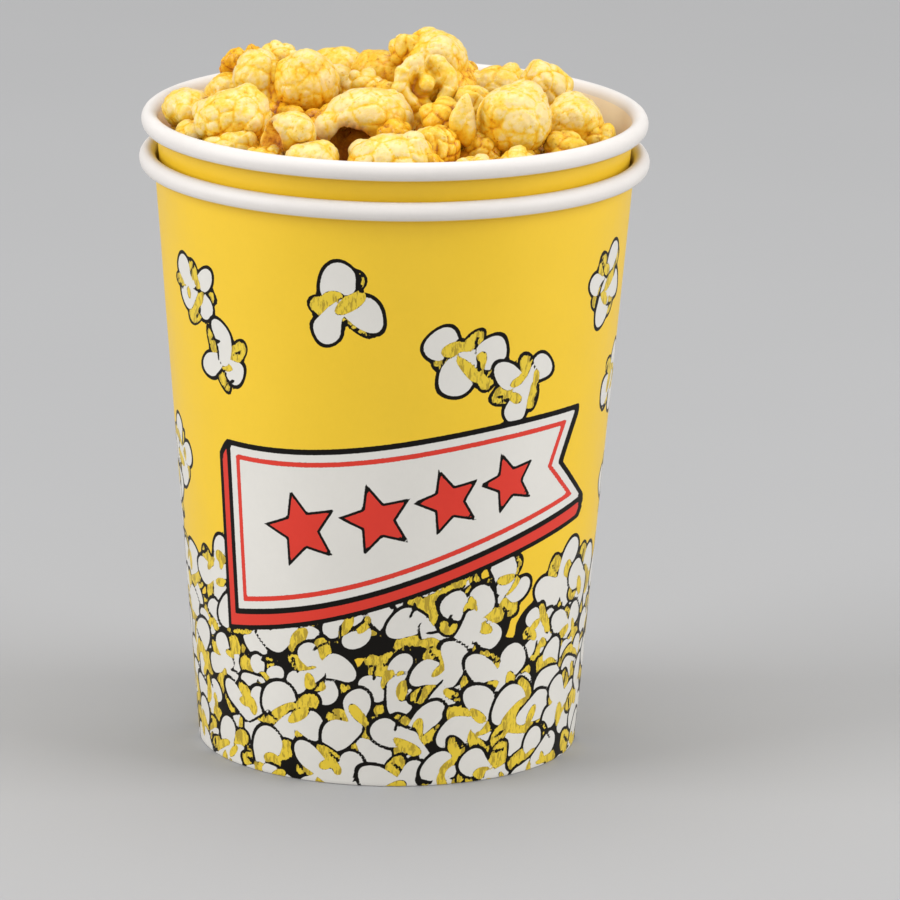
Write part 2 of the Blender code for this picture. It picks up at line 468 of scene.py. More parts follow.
class Finish:
    """A material with one Principled shader, and a pen for its other nodes."""

    def __init__(self, name: str) -> None:
        """Make the material.

        Args:
            name: Its name.
        """
        self.material = bpy.data.materials.new(name)
        self.material.use_nodes = True
        self.pen = Pen(self.material.node_tree)
        self.shader = self.material.node_tree.nodes["Principled BSDF"]

    def group(self, tree: bpy.types.NodeTree, **values: Any) -> bpy.types.Node:
        """Place a node group with these values on its inputs."""
        return self.pen.add("ShaderNodeGroup", node_tree=tree, feeds=values)

    def bump(self, height: Any, strength: float, distance: float) -> None:
        """Raise the surface's fine relief.

        Args:
            height: The relief's socket.
            strength: How strong it is, from 0 to 1.
            distance: How far it rises, in metres.
        """
        feeds = {"Height": height, "Strength": strength, "Distance": distance}
        self.set(Normal=self.pen.add("ShaderNodeBump", feeds).outputs[0])

    def set(self, **values: Any) -> None:
        """Feed the shader's inputs, named with _ for each blank."""
        for name, value in values.items():
            self.pen.feed(self.shader.inputs[name.replace("_", " ")], value)


@dataclass(frozen=True)
class BoardFinish:
    """Coated paperboard, plain or printed."""

    name: str
    colour: Triple
    roughness: float = 0.42
    coat: float = 0.06
    gloss: float = 0.40
    fibre: float = 1.0
    printed: bool = False
    white: Triple = (0.67, 0.65, 0.605)
    mustard: Triple = (0.72, 0.52, 0.030)
    olive: Triple = (0.30, 0.20, 0.010)
    red: Triple = (0.64, 0.028, 0.012)
    black: Triple = (0.004, 0.003, 0.002)

    def ink(self, pen: Pen, name: str, wander: Any, amount: float) -> Any:
        """A printed colour's mask, 1 inside its edge.

        Args:
            pen: Where the nodes go.
            name: The stored distance to the colour's edge, in millimetres.
            wander: Noise that roughens the edge.
            amount: By how many millimetres it does.

        Returns:
            The mask's socket.
        """
        rough = pen.math("MULTIPLY", pen.around_zero(wander), amount)
        return pen.fit(pen.math("ADD", pen.stored(name), rough), (-0.06, 0.06), (1.0, 0.0))

    def build(self, grain: bpy.types.NodeTree) -> bpy.types.Material:
        """Make the material.

        Args:
            grain: The board's grain group.

        Returns:
            The finished material.
        """
        finish = Finish(self.name)
        pen = finish.pen
        surface = finish.group(grain, Fibre=self.fibre, Mottle=1.0)
        colour: Any = self.colour
        gloss: Any = self.gloss
        if self.printed:
            where = pen.place()
            edge = pen.noise(where, 1500.0, 2.0)
            lean = (0.0, math.radians(38), 0.0)
            slant = {"Vector": where, "Rotation": lean, "Scale": (1.0, 1.0, 0.30)}
            tear = pen.noise(pen.add("ShaderNodeMapping", slant).outputs[0], 640.0, 3.0, 0.7)
            etched = pen.fit(tear, (0.42, 0.50), (0.75, 0.0))
            mustard = pen.mix(etched, self.mustard, self.olive)
            for name, ink, wander, amount in (
                ("ink_line", self.black, edge, 0.25),
                ("ink_red", self.red, edge, 0.2),
                ("ink_mustard", mustard, tear, 2.2),
                ("ink_white", self.white, edge, 0.25),
            ):
                colour = pen.mix(self.ink(pen, name, wander, amount), colour, ink)
            light = pen.add("ShaderNodeRGBToBW", {0: colour})
            gloss = pen.fit(light.outputs[0], (0.0, 0.04), (0.08, self.gloss))
        finish.set(
            Base_Color=pen.shade(colour, surface.outputs["Tone"]),
            Roughness=pen.math("ADD", surface.outputs["Rough"], self.roughness, clamp=True),
            Specular_IOR_Level=gloss,
            Coat_Weight=self.coat,
            Coat_Roughness=0.28,
        )
        finish.bump(surface.outputs["Height"], 0.25, 0.00006)
        return finish.material


@dataclass(frozen=True)
class CornFinish:
    """Buttered popped corn."""

    name: str
    relief: float = 0.75
    subsurface: float = 0.10
    glaze: float = 0.26

    def build(self, skin: bpy.types.NodeTree) -> bpy.types.Material:
        """Make the material.

        Args:
            skin: The popped corn's skin group.

        Returns:
            The finished material.
        """
        finish = Finish(self.name)
        pen = finish.pen
        surface = finish.group(
            skin, Fold=pen.stored("fold_shade"), Toast=pen.stored("toast_and_shade"), Scorch=pen.stored("scorch")
        )
        finish.bump(surface.outputs["Height"], self.relief, 0.00027)
        finish.set(
            Base_Color=surface.outputs["Colour"],
            Roughness=surface.outputs["Rough"],
            Coat_Weight=pen.fit(pen.stored("scorch"), (0.0, 0.6), (self.glaze, 0.0)),
            Subsurface_Weight=self.subsurface,
            Subsurface_Radius=(0.0030, 0.0016, 0.0005),
            Subsurface_Scale=1.0,
            Specular_IOR_Level=0.12,
            Coat_Roughness=0.12,
        )
        return finish.material


# The printed design


class Ink(Enum):
    """Printed colours and the names that their edges are kept under."""

    LINE = "ink_line"
    WHITE = "ink_white"
    MUSTARD = "ink_mustard"
    RED = "ink_red"


FAR = 9.0  # the printed fields stop at this many millimetres from an edge
STAR_WAIST = 0.46  # from a star's middle to a notch, of the way to a tip


class Plate:
    """The printed wall's points, and how far each lies from every colour's edge.

    A distance is in millimetres and is below zero inside the colour. The black line is what is
    left of the printed ground where no other colour lies.
    """

    def __init__(self, turn: np.ndarray, rise: np.ndarray, radius: np.ndarray) -> None:
        """Start with a bare wall.

        Args:
            turn: Angle of each point from the front, in radians.
            rise: Distance of each point from the foot along the wall, in millimetres.
            radius: Distance of each point from the axis, in millimetres.
        """
        self.turn, self.rise, self.radius = turn, rise, radius
        self.fields = {ink: np.full(len(turn), FAR) for ink in Ink}

    def near(self, turn: float, rise: float, reach: float) -> tuple[np.ndarray, np.ndarray, np.ndarray]:
        """The points around a spot.

        Args:
            turn: The spot's angle from the front, in radians.
            rise: Its distance from the foot, in millimetres.
            reach: How far away a point may be, in millimetres.

        Returns:
            Their numbers, and how far each lies to the right of the spot and above it.
        """
        across = (self.turn - turn + math.pi) % (2 * math.pi) - math.pi
        across = across * self.radius
        above = self.rise - rise
        chosen = np.nonzero((np.abs(across) < reach) & (np.abs(above) < reach))[0]
        return chosen, across[chosen], above[chosen]

    def lay(self, ink: Ink, chosen: np.ndarray, shape: np.ndarray) -> None:
        """Print a shape in one colour over what is there.

        Args:
            ink: The colour.
            chosen: Numbers of the points that the shape covers.
            shape: How far each of them is from its edge, below zero inside.
        """
        for other, field in self.fields.items():
            if other in (ink, Ink.LINE):
                field[chosen] = np.minimum(field[chosen], shape)
            else:
                field[chosen] = np.maximum(field[chosen], -shape)


def disc(x: np.ndarray, y: np.ndarray, middle: tuple[float, float], size: float, slim: float = 1.0,
         turn: float = 0.0) -> np.ndarray:
    """Distance to a round or oval edge, below zero inside.

    Args:
        x: How far right each point is.
        y: How far up each point is.
        middle: The oval's middle.
        size: Its longer half size.
        slim: Its shorter half size over the longer.
        turn: The long side's angle, in radians.

    Returns:
        One distance for each point.
    """
    dx, dy = x - middle[0], y - middle[1]
    along = dx * math.cos(turn) + dy * math.sin(turn)
    aside = (dy * math.cos(turn) - dx * math.sin(turn)) / slim
    return (np.hypot(along, aside) - size) * math.sqrt(slim)


def stroke(x: np.ndarray, y: np.ndarray, start: tuple[float, float], end: tuple[float, float],
           width: float) -> np.ndarray:
    """Distance to the edge of a straight stroke with round ends, below zero inside.

    Args:
        x: How far right each point is.
        y: How far up each point is.
        start: One end of its middle line.
        end: The other.
        width: Half its width.

    Returns:
        One distance for each point.
    """
    dx, dy = end[0] - start[0], end[1] - start[1]
    along = ((x - start[0]) * dx + (y - start[1]) * dy) / (dx * dx + dy * dy)
    along = np.clip(along, 0.0, 1.0)
    return np.hypot(x - start[0] - along * dx, y - start[1] - along * dy) - width


def star(x: np.ndarray, y: np.ndarray, middle: tuple[float, float], size: float,
         turn: float) -> np.ndarray:
    """Distance to a five-pointed star's edge, below zero inside.

    Args:
        x: How far right each point is.
        y: How far up each point is.
        middle: The star's middle.
        size: From there to a tip.
        turn: Its turn to the left, in radians.

    Returns:
        One distance for each point.
    """
    dx, dy = x - middle[0], y - middle[1]
    angle = np.arctan2(dy, dx) - turn - math.pi / 2
    length = np.hypot(dx, dy)
    fifth = 2 * math.pi / 5
    angle = np.abs((angle + fifth / 2) % fifth - fifth / 2)
    px, py = length * np.cos(angle), length * np.sin(angle)
    inner = STAR_WAIST * size
    tip = np.array([size, 0.0])
    notch = np.array([inner * math.cos(fifth / 2), inner * math.sin(fifth / 2)])
    side = notch - tip
    normal = np.array([side[1], -side[0]]) / np.hypot(*side)
    if normal @ tip < 0:
        normal = -normal
    return (px - tip[0]) * normal[0] + (py - tip[1]) * normal[1]


def pear(x: np.ndarray, y: np.ndarray, turn: float, away: float, wide: float, neck: float) -> np.ndarray:
    """Distance to the edge of a lobe that narrows towards the origin, below zero inside.

    Args:
        x: How far right each point is.
        y: How far up each point is.
        turn: The lobe's direction from the origin, in radians.
        away: How far out the middle of its round end is.
        wide: Radius of the round end.
        neck: Radius of the end at the origin.

    Returns:
        One distance for each point.
    """
    along = away - (x * math.cos(turn) + y * math.sin(turn))
    aside = np.abs(y * math.cos(turn) - x * math.sin(turn))
    slope = min((wide - neck) / away, 0.98)
    flat = math.sqrt(1 - slope * slope)
    key = along * flat - aside * slope
    side = aside * flat + along * slope - wide
    side = np.where(key < 0, np.hypot(along, aside) - wide, side)
    return np.where(key > away * flat, np.hypot(along - away, aside) - neck, side)


@dataclass(frozen=True)
class Design:
    """The print: drawn puffs, densest at the foot, and a slanted ribbon with stars.

    Sizes are in millimetres. Those of a drawn puff's parts are shares of its half width, drawn
    between two ends where there are two.
    """

    line: float = 1.2
    repeats: int = 2
    seed: int = 5
    ripple: float = 0.07  # how far a puff's outline is out of true
    lobe_wide: Range = (0.29, 0.42)  # radius of a lobe's round end
    lobe_away: Range = (0.50, 0.68)  # how far out that end is
    lobe_neck: Range = (0.25, 0.60)  # radius of its other end, of the round one's
    fold_away: Range = (0.42, 0.60)  # how far out a fold between two lobes is
    fold_long: Range = (0.29, 0.42)  # its longer half size
    fold_slim: float = 0.62  # its shorter half size over the longer
    heart: float = 0.40  # radius of the shaded middle
    heart_ground: float = 0.42  # radius of the black under it
    shadow_share: float = 0.55  # how many lobes have a shadow line
    patch_share: float = 0.85  # how many lobes have a shaded patch
    patch_long: Range = (0.6, 1.0)  # a patch's longer half size, of its lobe's round end
    crease_share: float = 0.70  # how many folds have a crease
    crease_long: Range = (0.22, 0.40)  # its length
    pile_top: float = 56.0
    pile_end: float = -8.0
    pile_climb: float = 15.0
    pile_radius: float = 63.0  # the tub's where the pile is
    row: float = 13.5
    puff: float = 13.6
    puff_spread: Range = (0.84, 1.12)  # the pile's puffs, of that size
    puff_pitch: float = 1.50  # from puff to puff, of their half width
    crumbs: int = 4  # shaded crumbs around a puff of the pile
    ribbon_turn: float = math.radians(7)
    ribbon_rise: float = 90.0
    ribbon_half: float = 64.0
    ribbon_slant: float = math.radians(11.0)
    ribbon_wide: float = 21.5  # half its width at the middle
    ribbon_taper: float = 6.0  # how much less that is at the right end
    ribbon_wave: float = 2.2  # how far its middle line swings
    ribbon_lift: float = 2.0  # how much higher that line is at the left end than at the middle
    ribbon_notch: float = 11.0  # depth of the cut in its right end
    ribbon_side: tuple[float, float] = (-3.8, -4.6)  # how far right and up its side reaches
    ribbon_edge: float = 1.6  # width of the black edge around its face
    pinstripe: Range = (-4.2, -2.6)  # where it lies, from the face's edge
    stars: tuple[float, ...] = (-0.58, -0.19, 0.17, 0.50)  # places, of the ribbon's half length
    star: float = 10.6
    star_shrink: float = 2.4  # how much smaller a star at the right end would be
    star_turn: float = 0.12
    loose: tuple = (  # turn in degrees, rise, half width and own turn in degrees of each loose puff
        (-58, 155, 13.0, 40), (-47, 136, 12.5, 200), (-12, 158, 13.5, 120),
        (19, 141, 13.5, 10), (35, 131, 12.5, 250), (66, 157, 13.0, 80),
        (80, 122, 12.5, 300), (-76, 98, 12.5, 15), (-87, 82, 13.0, 150), (90, 88, 12.5, 70),
    )

    def drawn_puff(self, plate: Plate, turn: float, rise: float, size: float, spin: float,
                   draw: random.Random) -> None:
        """Print one puff: round white lobes with shaded folds between them.

        Args:
            plate: The wall to print on.
            turn: The puff's angle from the front, in radians.
            rise: Its distance from the foot, in millimetres.
            size: Half its width, in millimetres.
            spin: Its own turn, in radians.
            draw: Source of what differs from puff to puff.
        """
        chosen, x, y = plate.near(turn, rise, size * 1.5)
        x = x + size * self.ripple * np.sin(y / size * 4.2 + spin)
        y = y + size * self.ripple * np.sin(x / size * 3.7 + 2 * spin)
        count = draw.choice((3, 3, 4))
        lobes = []
        for index in range(count):
            angle = spin + 2 * math.pi * (index + draw.uniform(-0.17, 0.17)) / count
            wide = size * draw.uniform(*self.lobe_wide) * (1.05 if count < 4 else 0.88)
            away = size * draw.uniform(*self.lobe_away)
            lobes.append((angle, away, wide, wide * draw.uniform(*self.lobe_neck)))
        ground = disc(x, y, (0.0, 0.0), size * self.heart_ground)
        for lobe in lobes:
            ground = np.minimum(ground, pear(x, y, *lobe) - self.line)
        folds = []
        for index in range(count):
            between = spin + 2 * math.pi * (index + 0.5 + draw.uniform(-0.1, 0.1)) / count
            away = size * draw.uniform(*self.fold_away)
            middle = (away * math.cos(between), away * math.sin(between))
            long = size * draw.uniform(*self.fold_long)
            fold_shade = disc(x, y, middle, long, self.fold_slim, between + draw.uniform(-0.7, 0.7))
            folds.append((fold_shade, middle, between))
            ground = np.minimum(ground, fold_shade - self.line * 0.8)
        plate.lay(Ink.LINE, chosen, ground)
        plate.lay(Ink.MUSTARD, chosen, disc(x, y, (0.0, 0.0), size * self.heart))
        for fold_shade, _, _ in folds:
            plate.lay(Ink.MUSTARD, chosen, fold_shade)
        for lobe in lobes:
            angle, away, wide, _ = lobe
            if draw.random() < self.shadow_share:
                side = angle + draw.choice((-1.3, 1.3))
                shift = self.line * 0.7
                shadow = pear(x - shift * math.cos(side), y - shift * math.sin(side), *lobe)
                plate.lay(Ink.LINE, chosen, shadow - self.line * 0.25)
            plate.lay(Ink.WHITE, chosen, pear(x, y, *lobe))
            if draw.random() < self.patch_share:
                aside = angle + draw.uniform(-0.9, 0.9)
                inner = (away - wide * 0.8) * 0.9
                middle = (inner * math.cos(aside), inner * math.sin(aside))
                long = wide * draw.uniform(*self.patch_long)
                patch = disc(x, y, middle, long, 0.5, angle + draw.uniform(0.6, 1.6))
                plate.lay(Ink.MUSTARD, chosen, patch)
        for _, middle, between in folds:
            if draw.random() < self.crease_share:
                bend = between + draw.uniform(-1.2, 1.2)
                reach = size * draw.uniform(*self.crease_long)
                start = (middle[0] * 1.4, middle[1] * 1.4)
                end = (start[0] - reach * math.cos(bend), start[1] - reach * math.sin(bend))
                plate.lay(Ink.LINE, chosen, stroke(x, y, start, end, self.line * 0.40))

    def pile(self, plate: Plate, start: float, draw: random.Random) -> None:
        """Print the dense heap at the foot, its rows from the top down.

        Args:
            plate: The wall to print on.
            start: Angle of the heap's middle from the front, in radians.
            draw: Source of what differs from puff to puff.
        """
        span = 2 * math.pi / self.repeats
        spots = []
        rise, row = self.pile_top, 0
        while rise > self.pile_end:
            count = round(self.pile_radius * span / (self.puff * self.puff_pitch))
            for index in range(count):
                share = (index + 0.5 * (row % 2) + draw.uniform(-0.2, 0.2)) / count
                lift = self.pile_climb * math.sin(math.pi * share) ** 2 * max(rise / self.pile_top, 0.0)
                size = self.puff * draw.uniform(*self.puff_spread)
                spin = draw.uniform(0, 2 * math.pi)
                spots.append((start + span * (share - 0.5), rise + lift + draw.uniform(-3, 3), size, spin))
                if row > 0:
                    self.crumbled_ground(plate, *spots[-1][:3], draw)
            rise -= self.row
            row += 1
        for spot in spots:
            self.drawn_puff(plate, *spot, draw)

    def crumbled_ground(self, plate: Plate, turn: float, rise: float, size: float,
                        draw: random.Random) -> None:
        """Print the black that a puff of the pile lies on, with shaded crumbs in it.

        Args:
            plate: The wall to print on.
            turn: The puff's angle from the front, in radians.
            rise: Its distance from the foot, in millimetres.
            size: Half its width, in millimetres.
            draw: Source of what differs from puff to puff.
        """
        chosen, x, y = plate.near(turn, rise, size)
        plate.lay(Ink.LINE, chosen, disc(x, y, (0.0, 0.0), size * 1.02))
        for _ in range(self.crumbs):
            way, out = draw.uniform(0, 2 * math.pi), size * draw.uniform(0.62, 0.80)
            spot = (out * math.cos(way), out * math.sin(way))
            long = size * draw.uniform(0.22, 0.34)
            plate.lay(Ink.MUSTARD, chosen, disc(x, y, spot, long, 0.7, way + draw.uniform(0.5, 2.5)))

    def ribbon_line(self, share: Any) -> Any:
        """How high the ribbon's middle line is, at a share of its half length."""
        return self.ribbon_wave * np.sin(share * 2.6) + self.ribbon_lift * (1 - share)

    def ribbon(self, plate: Plate, turn: float) -> None:
        """Print the slanted ribbon: red side, black edge, white face, pinstripe and red stars.

        Args:
            plate: The wall to print on.
            turn: Angle of the ribbon's middle from the front, in radians.
        """
        chosen, x, y = plate.near(turn, self.ribbon_rise, self.ribbon_half * 1.35)
        cos, sin = math.cos(self.ribbon_slant), math.sin(self.ribbon_slant)
        along, aside = x * cos + y * sin, y * cos - x * sin

        def band(shift_x: float, shift_y: float, grow: float) -> np.ndarray:
            """Distance to the ribbon's outline, below zero inside.

            Args:
                shift_x: How far right the outline is moved.
                shift_y: How far up it is moved.
                grow: How far it is grown.

            Returns:
                One distance for each point.
            """
            u, v = along - shift_x, aside - shift_y
            share = np.clip(u / self.ribbon_half, -1.3, 1.3)
            half = self.ribbon_wide - self.ribbon_taper * share
            off = np.abs(v - self.ribbon_line(share))
            notch = self.ribbon_notch * np.clip(1 - off / half, 0.0, 1.0)
            ends = np.maximum((u - self.ribbon_half + notch) * 0.8, -u - self.ribbon_half + 0.12 * v)
            return np.maximum((off - half) * 0.98, ends) - grow

        right, up = self.ribbon_side
        steps = [(right * share, up * share) for share in (0.25, 0.5, 0.75, 1.0)]
        plate.lay(Ink.LINE, chosen, np.minimum.reduce([band(*step, 2.1) for step in steps]))
        plate.lay(Ink.RED, chosen, np.minimum.reduce([band(*step, 0.6) for step in steps]))
        edge = band(0, 0, self.ribbon_edge)
        plate.lay(Ink.LINE, chosen, edge)
        plate.fields[Ink.RED][chosen] = np.maximum(plate.fields[Ink.RED][chosen], -edge)
        plate.lay(Ink.WHITE, chosen, band(0, 0, -0.2))
        inner, outer = self.pinstripe
        plate.lay(Ink.RED, chosen, np.maximum(band(0, 0, outer), -band(0, 0, inner)))
        for share in self.stars:
            spot = (share * self.ribbon_half, self.ribbon_line(share))
            size = self.star - self.star_shrink * share
            plate.lay(Ink.LINE, chosen, star(along, aside, spot, size + 1.6, self.star_turn))
            plate.lay(Ink.RED, chosen, star(along, aside, spot, size - 0.6, self.star_turn))

    def print_on(self, plate: Plate) -> None:
        """Print the whole design, the same on each side of the tub.

        Args:
            plate: The wall to print on.
        """
        sides = [2 * math.pi * side / self.repeats for side in range(self.repeats)]
        for start in sides:
            draw = random.Random(self.seed)
            for turn, rise, size, spin in self.loose:
                self.drawn_puff(plate, start + math.radians(turn), rise, size, math.radians(spin), draw)
        for start in sides:
            self.pile(plate, start, random.Random(self.seed + 1))
        for start in sides:
            self.ribbon(plate, start + self.ribbon_turn)


# The tubs


@dataclass(frozen=True)
class TubSizes:
    """Sizes of one paper tub above its own foot, in metres."""

    rim_radius: float = 0.0800
    tube: float = 0.0026  # half the rolled rim's width
    tube_tall: float = 0.0031  # half its height
    rim_height: float = 0.1891  # of the roll's middle
    foot_radius: float = 0.0603
    board: float = 0.0005
    hem: float = 0.0016  # thickness of the foot's turned-in board
    recess: float = 0.0116  # height of the base's underside
    lift: float = 0.0  # height of the tub's foot above the floor

    def wall(self, height: float) -> float:
        """Outer radius of the wall at a height above the tub's own foot."""
        top = self.rim_radius - 2 * self.tube + self.board
        return self.foot_radius + (top - self.foot_radius) * height / self.rim_height


def ring_stack(name: str, sides: int, rings: Sequence[tuple[float, float]]) -> bpy.types.Object:
    """Model a turned body by drawing one ring out through a list of rings.

    Args:
        name: The body's name.
        sides: How many sides a ring has.
        rings: Radius and height of each ring, from the middle of one face to that of the other.

    Returns:
        The closed body, its faces outwards.
    """
    deselect()
    radius, height = rings[0]
    bpy.ops.mesh.primitive_circle_add(vertices=sides, radius=radius, location=(0, 0, height))
    obj = bpy.context.object
    obj.name = name
    settle(obj)
    bpy.ops.object.mode_set(mode="EDIT")
    bpy.ops.mesh.select_mode(type="EDGE")
    bpy.ops.mesh.select_all(action="SELECT")
    for wider, higher in rings[1:]:
        bpy.ops.mesh.extrude_region_move(TRANSFORM_OT_translate={"value": (0, 0, higher - height)})
        scale = wider / radius
        bpy.ops.transform.resize(value=(scale, scale, 1), center_override=(0, 0, higher))
        radius, height = wider, higher
    bpy.ops.mesh.edge_face_add()
    bpy.ops.mesh.select_all(action="DESELECT")
    bpy.ops.object.mode_set(mode="OBJECT")
    for edge in obj.data.edges[:sides]:
        edge.select = True
    bpy.ops.object.mode_set(mode="EDIT")
    bpy.ops.mesh.edge_face_add()
    bpy.ops.mesh.select_all(action="SELECT")
    bpy.ops.mesh.normals_make_consistent(inside=False)
    bpy.ops.object.mode_set(mode="OBJECT")
    return obj


@dataclass
class Tub:
    """One paper tub with a rolled rim, a turned-in foot and a glued seam at the back."""

    name: str
    node: str
    sizes: TubSizes
    sides: int
    rows: int
    design: Optional[Design] = None
    inner_rows: int = 12
    seam_turn: float = math.radians(160)
    seam_width: float = 8.0  # of the glued lap, in millimetres
    seam_step: float = 0.30  # how far it stands out, in millimetres
    wave: float = 0.11  # how far the rolled sheet is out of round, in millimetres
    roll_steps: int = 16
    roll_start: int = -128  # where the roll leaves the wall, in degrees from straight out
    foot_rows: float = 0.72  # height of the wall's lowest rows over that of the average row

    def rings(self) -> list[tuple[float, float]]:
        """Draw the tub's half section.

        Returns:
            Radii and heights from the middle of the base's underside round to that of its top.
        """
        s = self.sizes
        centre, halfway, bend = 0.001, 0.03, 0.0008  # two rings of the base, and its edge's rounding
        inside, skirt = s.foot_radius - s.hem, s.wall(s.recess) - s.hem
        rings = [(centre, s.recess), (halfway, s.recess), (skirt - bend, s.recess)]
        rings += [(skirt, s.recess - bend), (inside, 0.0006), (inside + 0.0004, 0.00015)]
        rings += [(inside + bend, 0.0), (s.foot_radius - 0.0005, 0.0), (s.foot_radius - 0.0001, 0.0002)]
        low, high = 0.0005, s.rim_height - s.tube_tall * 0.80
        for row in range(self.rows + 1):
            share = row / self.rows
            height = low + (high - low) * share * (self.foot_rows + (1 - self.foot_rows) * share)
            rings.append((s.wall(height), height))
        middle = s.rim_radius - s.tube
        for step in range(self.roll_steps + 1):
            angle = math.radians(self.roll_start + (180 - self.roll_start) * step / self.roll_steps)
            rings.append((middle + s.tube * math.cos(angle), s.rim_height + s.tube_tall * math.sin(angle)))
        base = s.recess + s.board
        for row in range(1, self.inner_rows + 1):
            height = s.rim_height + (base + 0.0012 - s.rim_height) * row / (self.inner_rows + 1)
            rings.append((s.wall(height) - s.board, height))
        corner = s.wall(base) - s.board
        rings += [(corner - 0.0002, base + 0.0003), (s.wall(base) - 0.0016, base)]
        rings += [(halfway, base), (centre, base)]
        return [(radius, height + s.lift) for radius, height in rings]

    def settle_board(self, points: np.ndarray) -> np.ndarray:
        """Give the board its seam and the slight waves of a rolled sheet.

        Args:
            points: The tub's points as turned.

        Returns:
            The points, moved towards or away from the axis.
        """
        radius = np.maximum(np.hypot(points[:, 0], points[:, 1]), 1e-9)
        turn = np.arctan2(points[:, 0], -points[:, 1])
        height = points[:, 2] - self.sizes.lift
        draw = np.random.default_rng(len(self.name))
        wave = self.wave * np.sin(3 * turn + 1.1) * np.sin(height * 18)
        wave += 0.05 * rolling(points, 0.045, draw)
        wave *= smoothstep(height, 0.004, 0.03) * (1 - smoothstep(height, 0.16, 0.186))
        across = ((turn - self.seam_turn + math.pi) % (2 * math.pi) - math.pi) * radius / MM
        lap = smoothstep(across, 0.0, 0.5)
        lap *= 1 - smoothstep(across, self.seam_width, self.seam_width * 2.2)
        on_wall = smoothstep(height, 0.0002, 0.0008) * (radius > 0.05)
        shift = (wave + self.seam_step * lap * on_wall) * MM
        shift *= radius > 0.04
        outer = self.sizes.rim_radius - 0.0002
        moved = np.minimum(radius + shift, np.maximum(outer, radius))
        points = points.copy()
        points[:, :2] *= (moved / radius)[:, None]
        return points

    def build(self, printed: bpy.types.Material, plain: bpy.types.Material,
              lining: bpy.types.Material) -> bpy.types.Object:
        """Model and dress the tub.

        Args:
            printed: Material of the wall's outside.
            plain: Material of the rim and the foot.
            lining: Material of the inside.

        Returns:
            The finished tub.
        """
        obj = ring_stack(self.name, self.sides, self.rings())
        mesh = obj.data
        points = read_points(mesh)
        radius = np.hypot(points[:, 0], points[:, 1])
        height = points[:, 2] - self.sizes.lift
        if self.design is not None:
            turn = np.arctan2(points[:, 0], -points[:, 1])
            slope = self.sizes.wall(1.0) - self.sizes.wall(0.0)
            rise = height / MM * math.sqrt(1 + slope * slope)
            plate = Plate(turn, rise, radius / MM)
            self.design.print_on(plate)
            for ink, field in plate.fields.items():
                write_value(mesh, ink.value, field)
        write_points(mesh, self.settle_board(points))
        place_piece(obj, self.name, self.node, (printed, plain, lining))
        foot, top = 0.0003, self.sizes.rim_height - self.sizes.tube_tall * 0.84
        for face in mesh.polygons:
            numbers = list(face.vertices)
            middle_height = float(height[numbers].mean())
            middle_radius = float(radius[numbers].mean())
            outside = middle_radius > self.sizes.wall(middle_height) - self.sizes.board * 0.5
            if foot < middle_height < top:
                face.material_index = 0 if outside else 2
            else:
                face.material_index = 1
        activate(obj)
        bpy.ops.object.shade_smooth_by_angle(angle=math.radians(35))
        return obj


# The popcorn


class Form(Enum):
    """Forms of popped corn."""

    ROUND = "round"
    OVAL = "oval"
    CAP = "cap"
    CURLY = "curly"
    NUB = "nub"
    LEAF = "leaf"


# In units of a puff's radius: the body's half sizes, then the lobes' middles and radii.
PUFF_FORMS = {
    Form.ROUND: ((0.97, 0.94, 0.92), ((0.34, 0.20, 0.36, 0.60), (-0.40, -0.12, 0.30, 0.58))),
    Form.OVAL: ((1.12, 0.86, 0.84), ((0.56, 0.10, 0.22, 0.54), (-0.58, 0.05, 0.12, 0.52))),
    Form.CAP: ((1.12, 0.92, 0.76), ((-0.96, -0.14, -0.26, 0.42), (0.74, 0.16, -0.30, 0.48))),
    Form.CURLY: (
        (0.66, 0.58, 0.68),
        (
            (0.70, -0.42, 0.26, 0.38),
            (-0.66, -0.44, 0.30, 0.36),
            (0.04, -0.64, -0.56, 0.36),
            (-0.24, -0.24, 0.66, 0.42),
            (0.44, 0.04, 0.62, 0.42),
        ),
    ),
    Form.NUB: ((0.92, 0.82, 0.80), ((0.46, 0.24, 0.34, 0.46),)),
    Form.LEAF: ((0.50, 0.30, 0.98), ((0.00, 0.06, -0.40, 0.34),)),
}


# The curly form's arms, each through these places of its middle line.
CURLY_ARMS = (
    (
        (-0.20, -0.30, 0.86), (-0.66, -0.48, 0.54), (-0.78, -0.60, 0.06), (-0.40, -0.72, -0.44),
        (0.10, -0.74, -0.72),
    ),
    ((0.40, -0.16, 0.84), (0.78, -0.40, 0.50), (0.86, -0.58, 0.06), (0.60, -0.72, -0.26)),
    ((0.06, -0.40, 0.20), (0.06, -0.78, 0.22)),
)
ARM_RADIUS = 0.25
ARM_STEPS = 3  # balls from one of those places to the next
CURLY_CORE = 0.78  # size of the form's own lobes behind its arms, of that in the CAD model


def arm_balls() -> list[tuple[float, float, float, float]]:
    """String balls along the curly form's arms.

    Returns:
        Their middles and radii, in units of a puff's radius.
    """
    balls = []
    for arm in CURLY_ARMS:
        for start, end in zip(arm, arm[1:]):
            for step in range(ARM_STEPS + (end == arm[-1])):
                place = Vector(start).lerp(Vector(end), step / ARM_STEPS)
                balls.append((*place, ARM_RADIUS * (1.0 + 0.14 * math.sin(len(balls) * 2.3))))
    return balls


@dataclass(frozen=True)
class Skin:
    """How a form's surface swells and folds, in millimetres unless it says otherwise."""

    buds: int
    bud_size: tuple[float, float] = (0.26, 0.42)  # of the puff's radius
    bud_depth: float = 0.80  # of the body's half size
    swell_cell: float = 6.5
    swell: float = 0.9
    cell: float = 3.4
    groove: float = 0.42
    sharpness: float = 4.0
    pinch: float = 0.0  # how much narrower the body's ends are than its middle
    bow: float = 0.0  # how far the ends bend aside, of the puff's radius


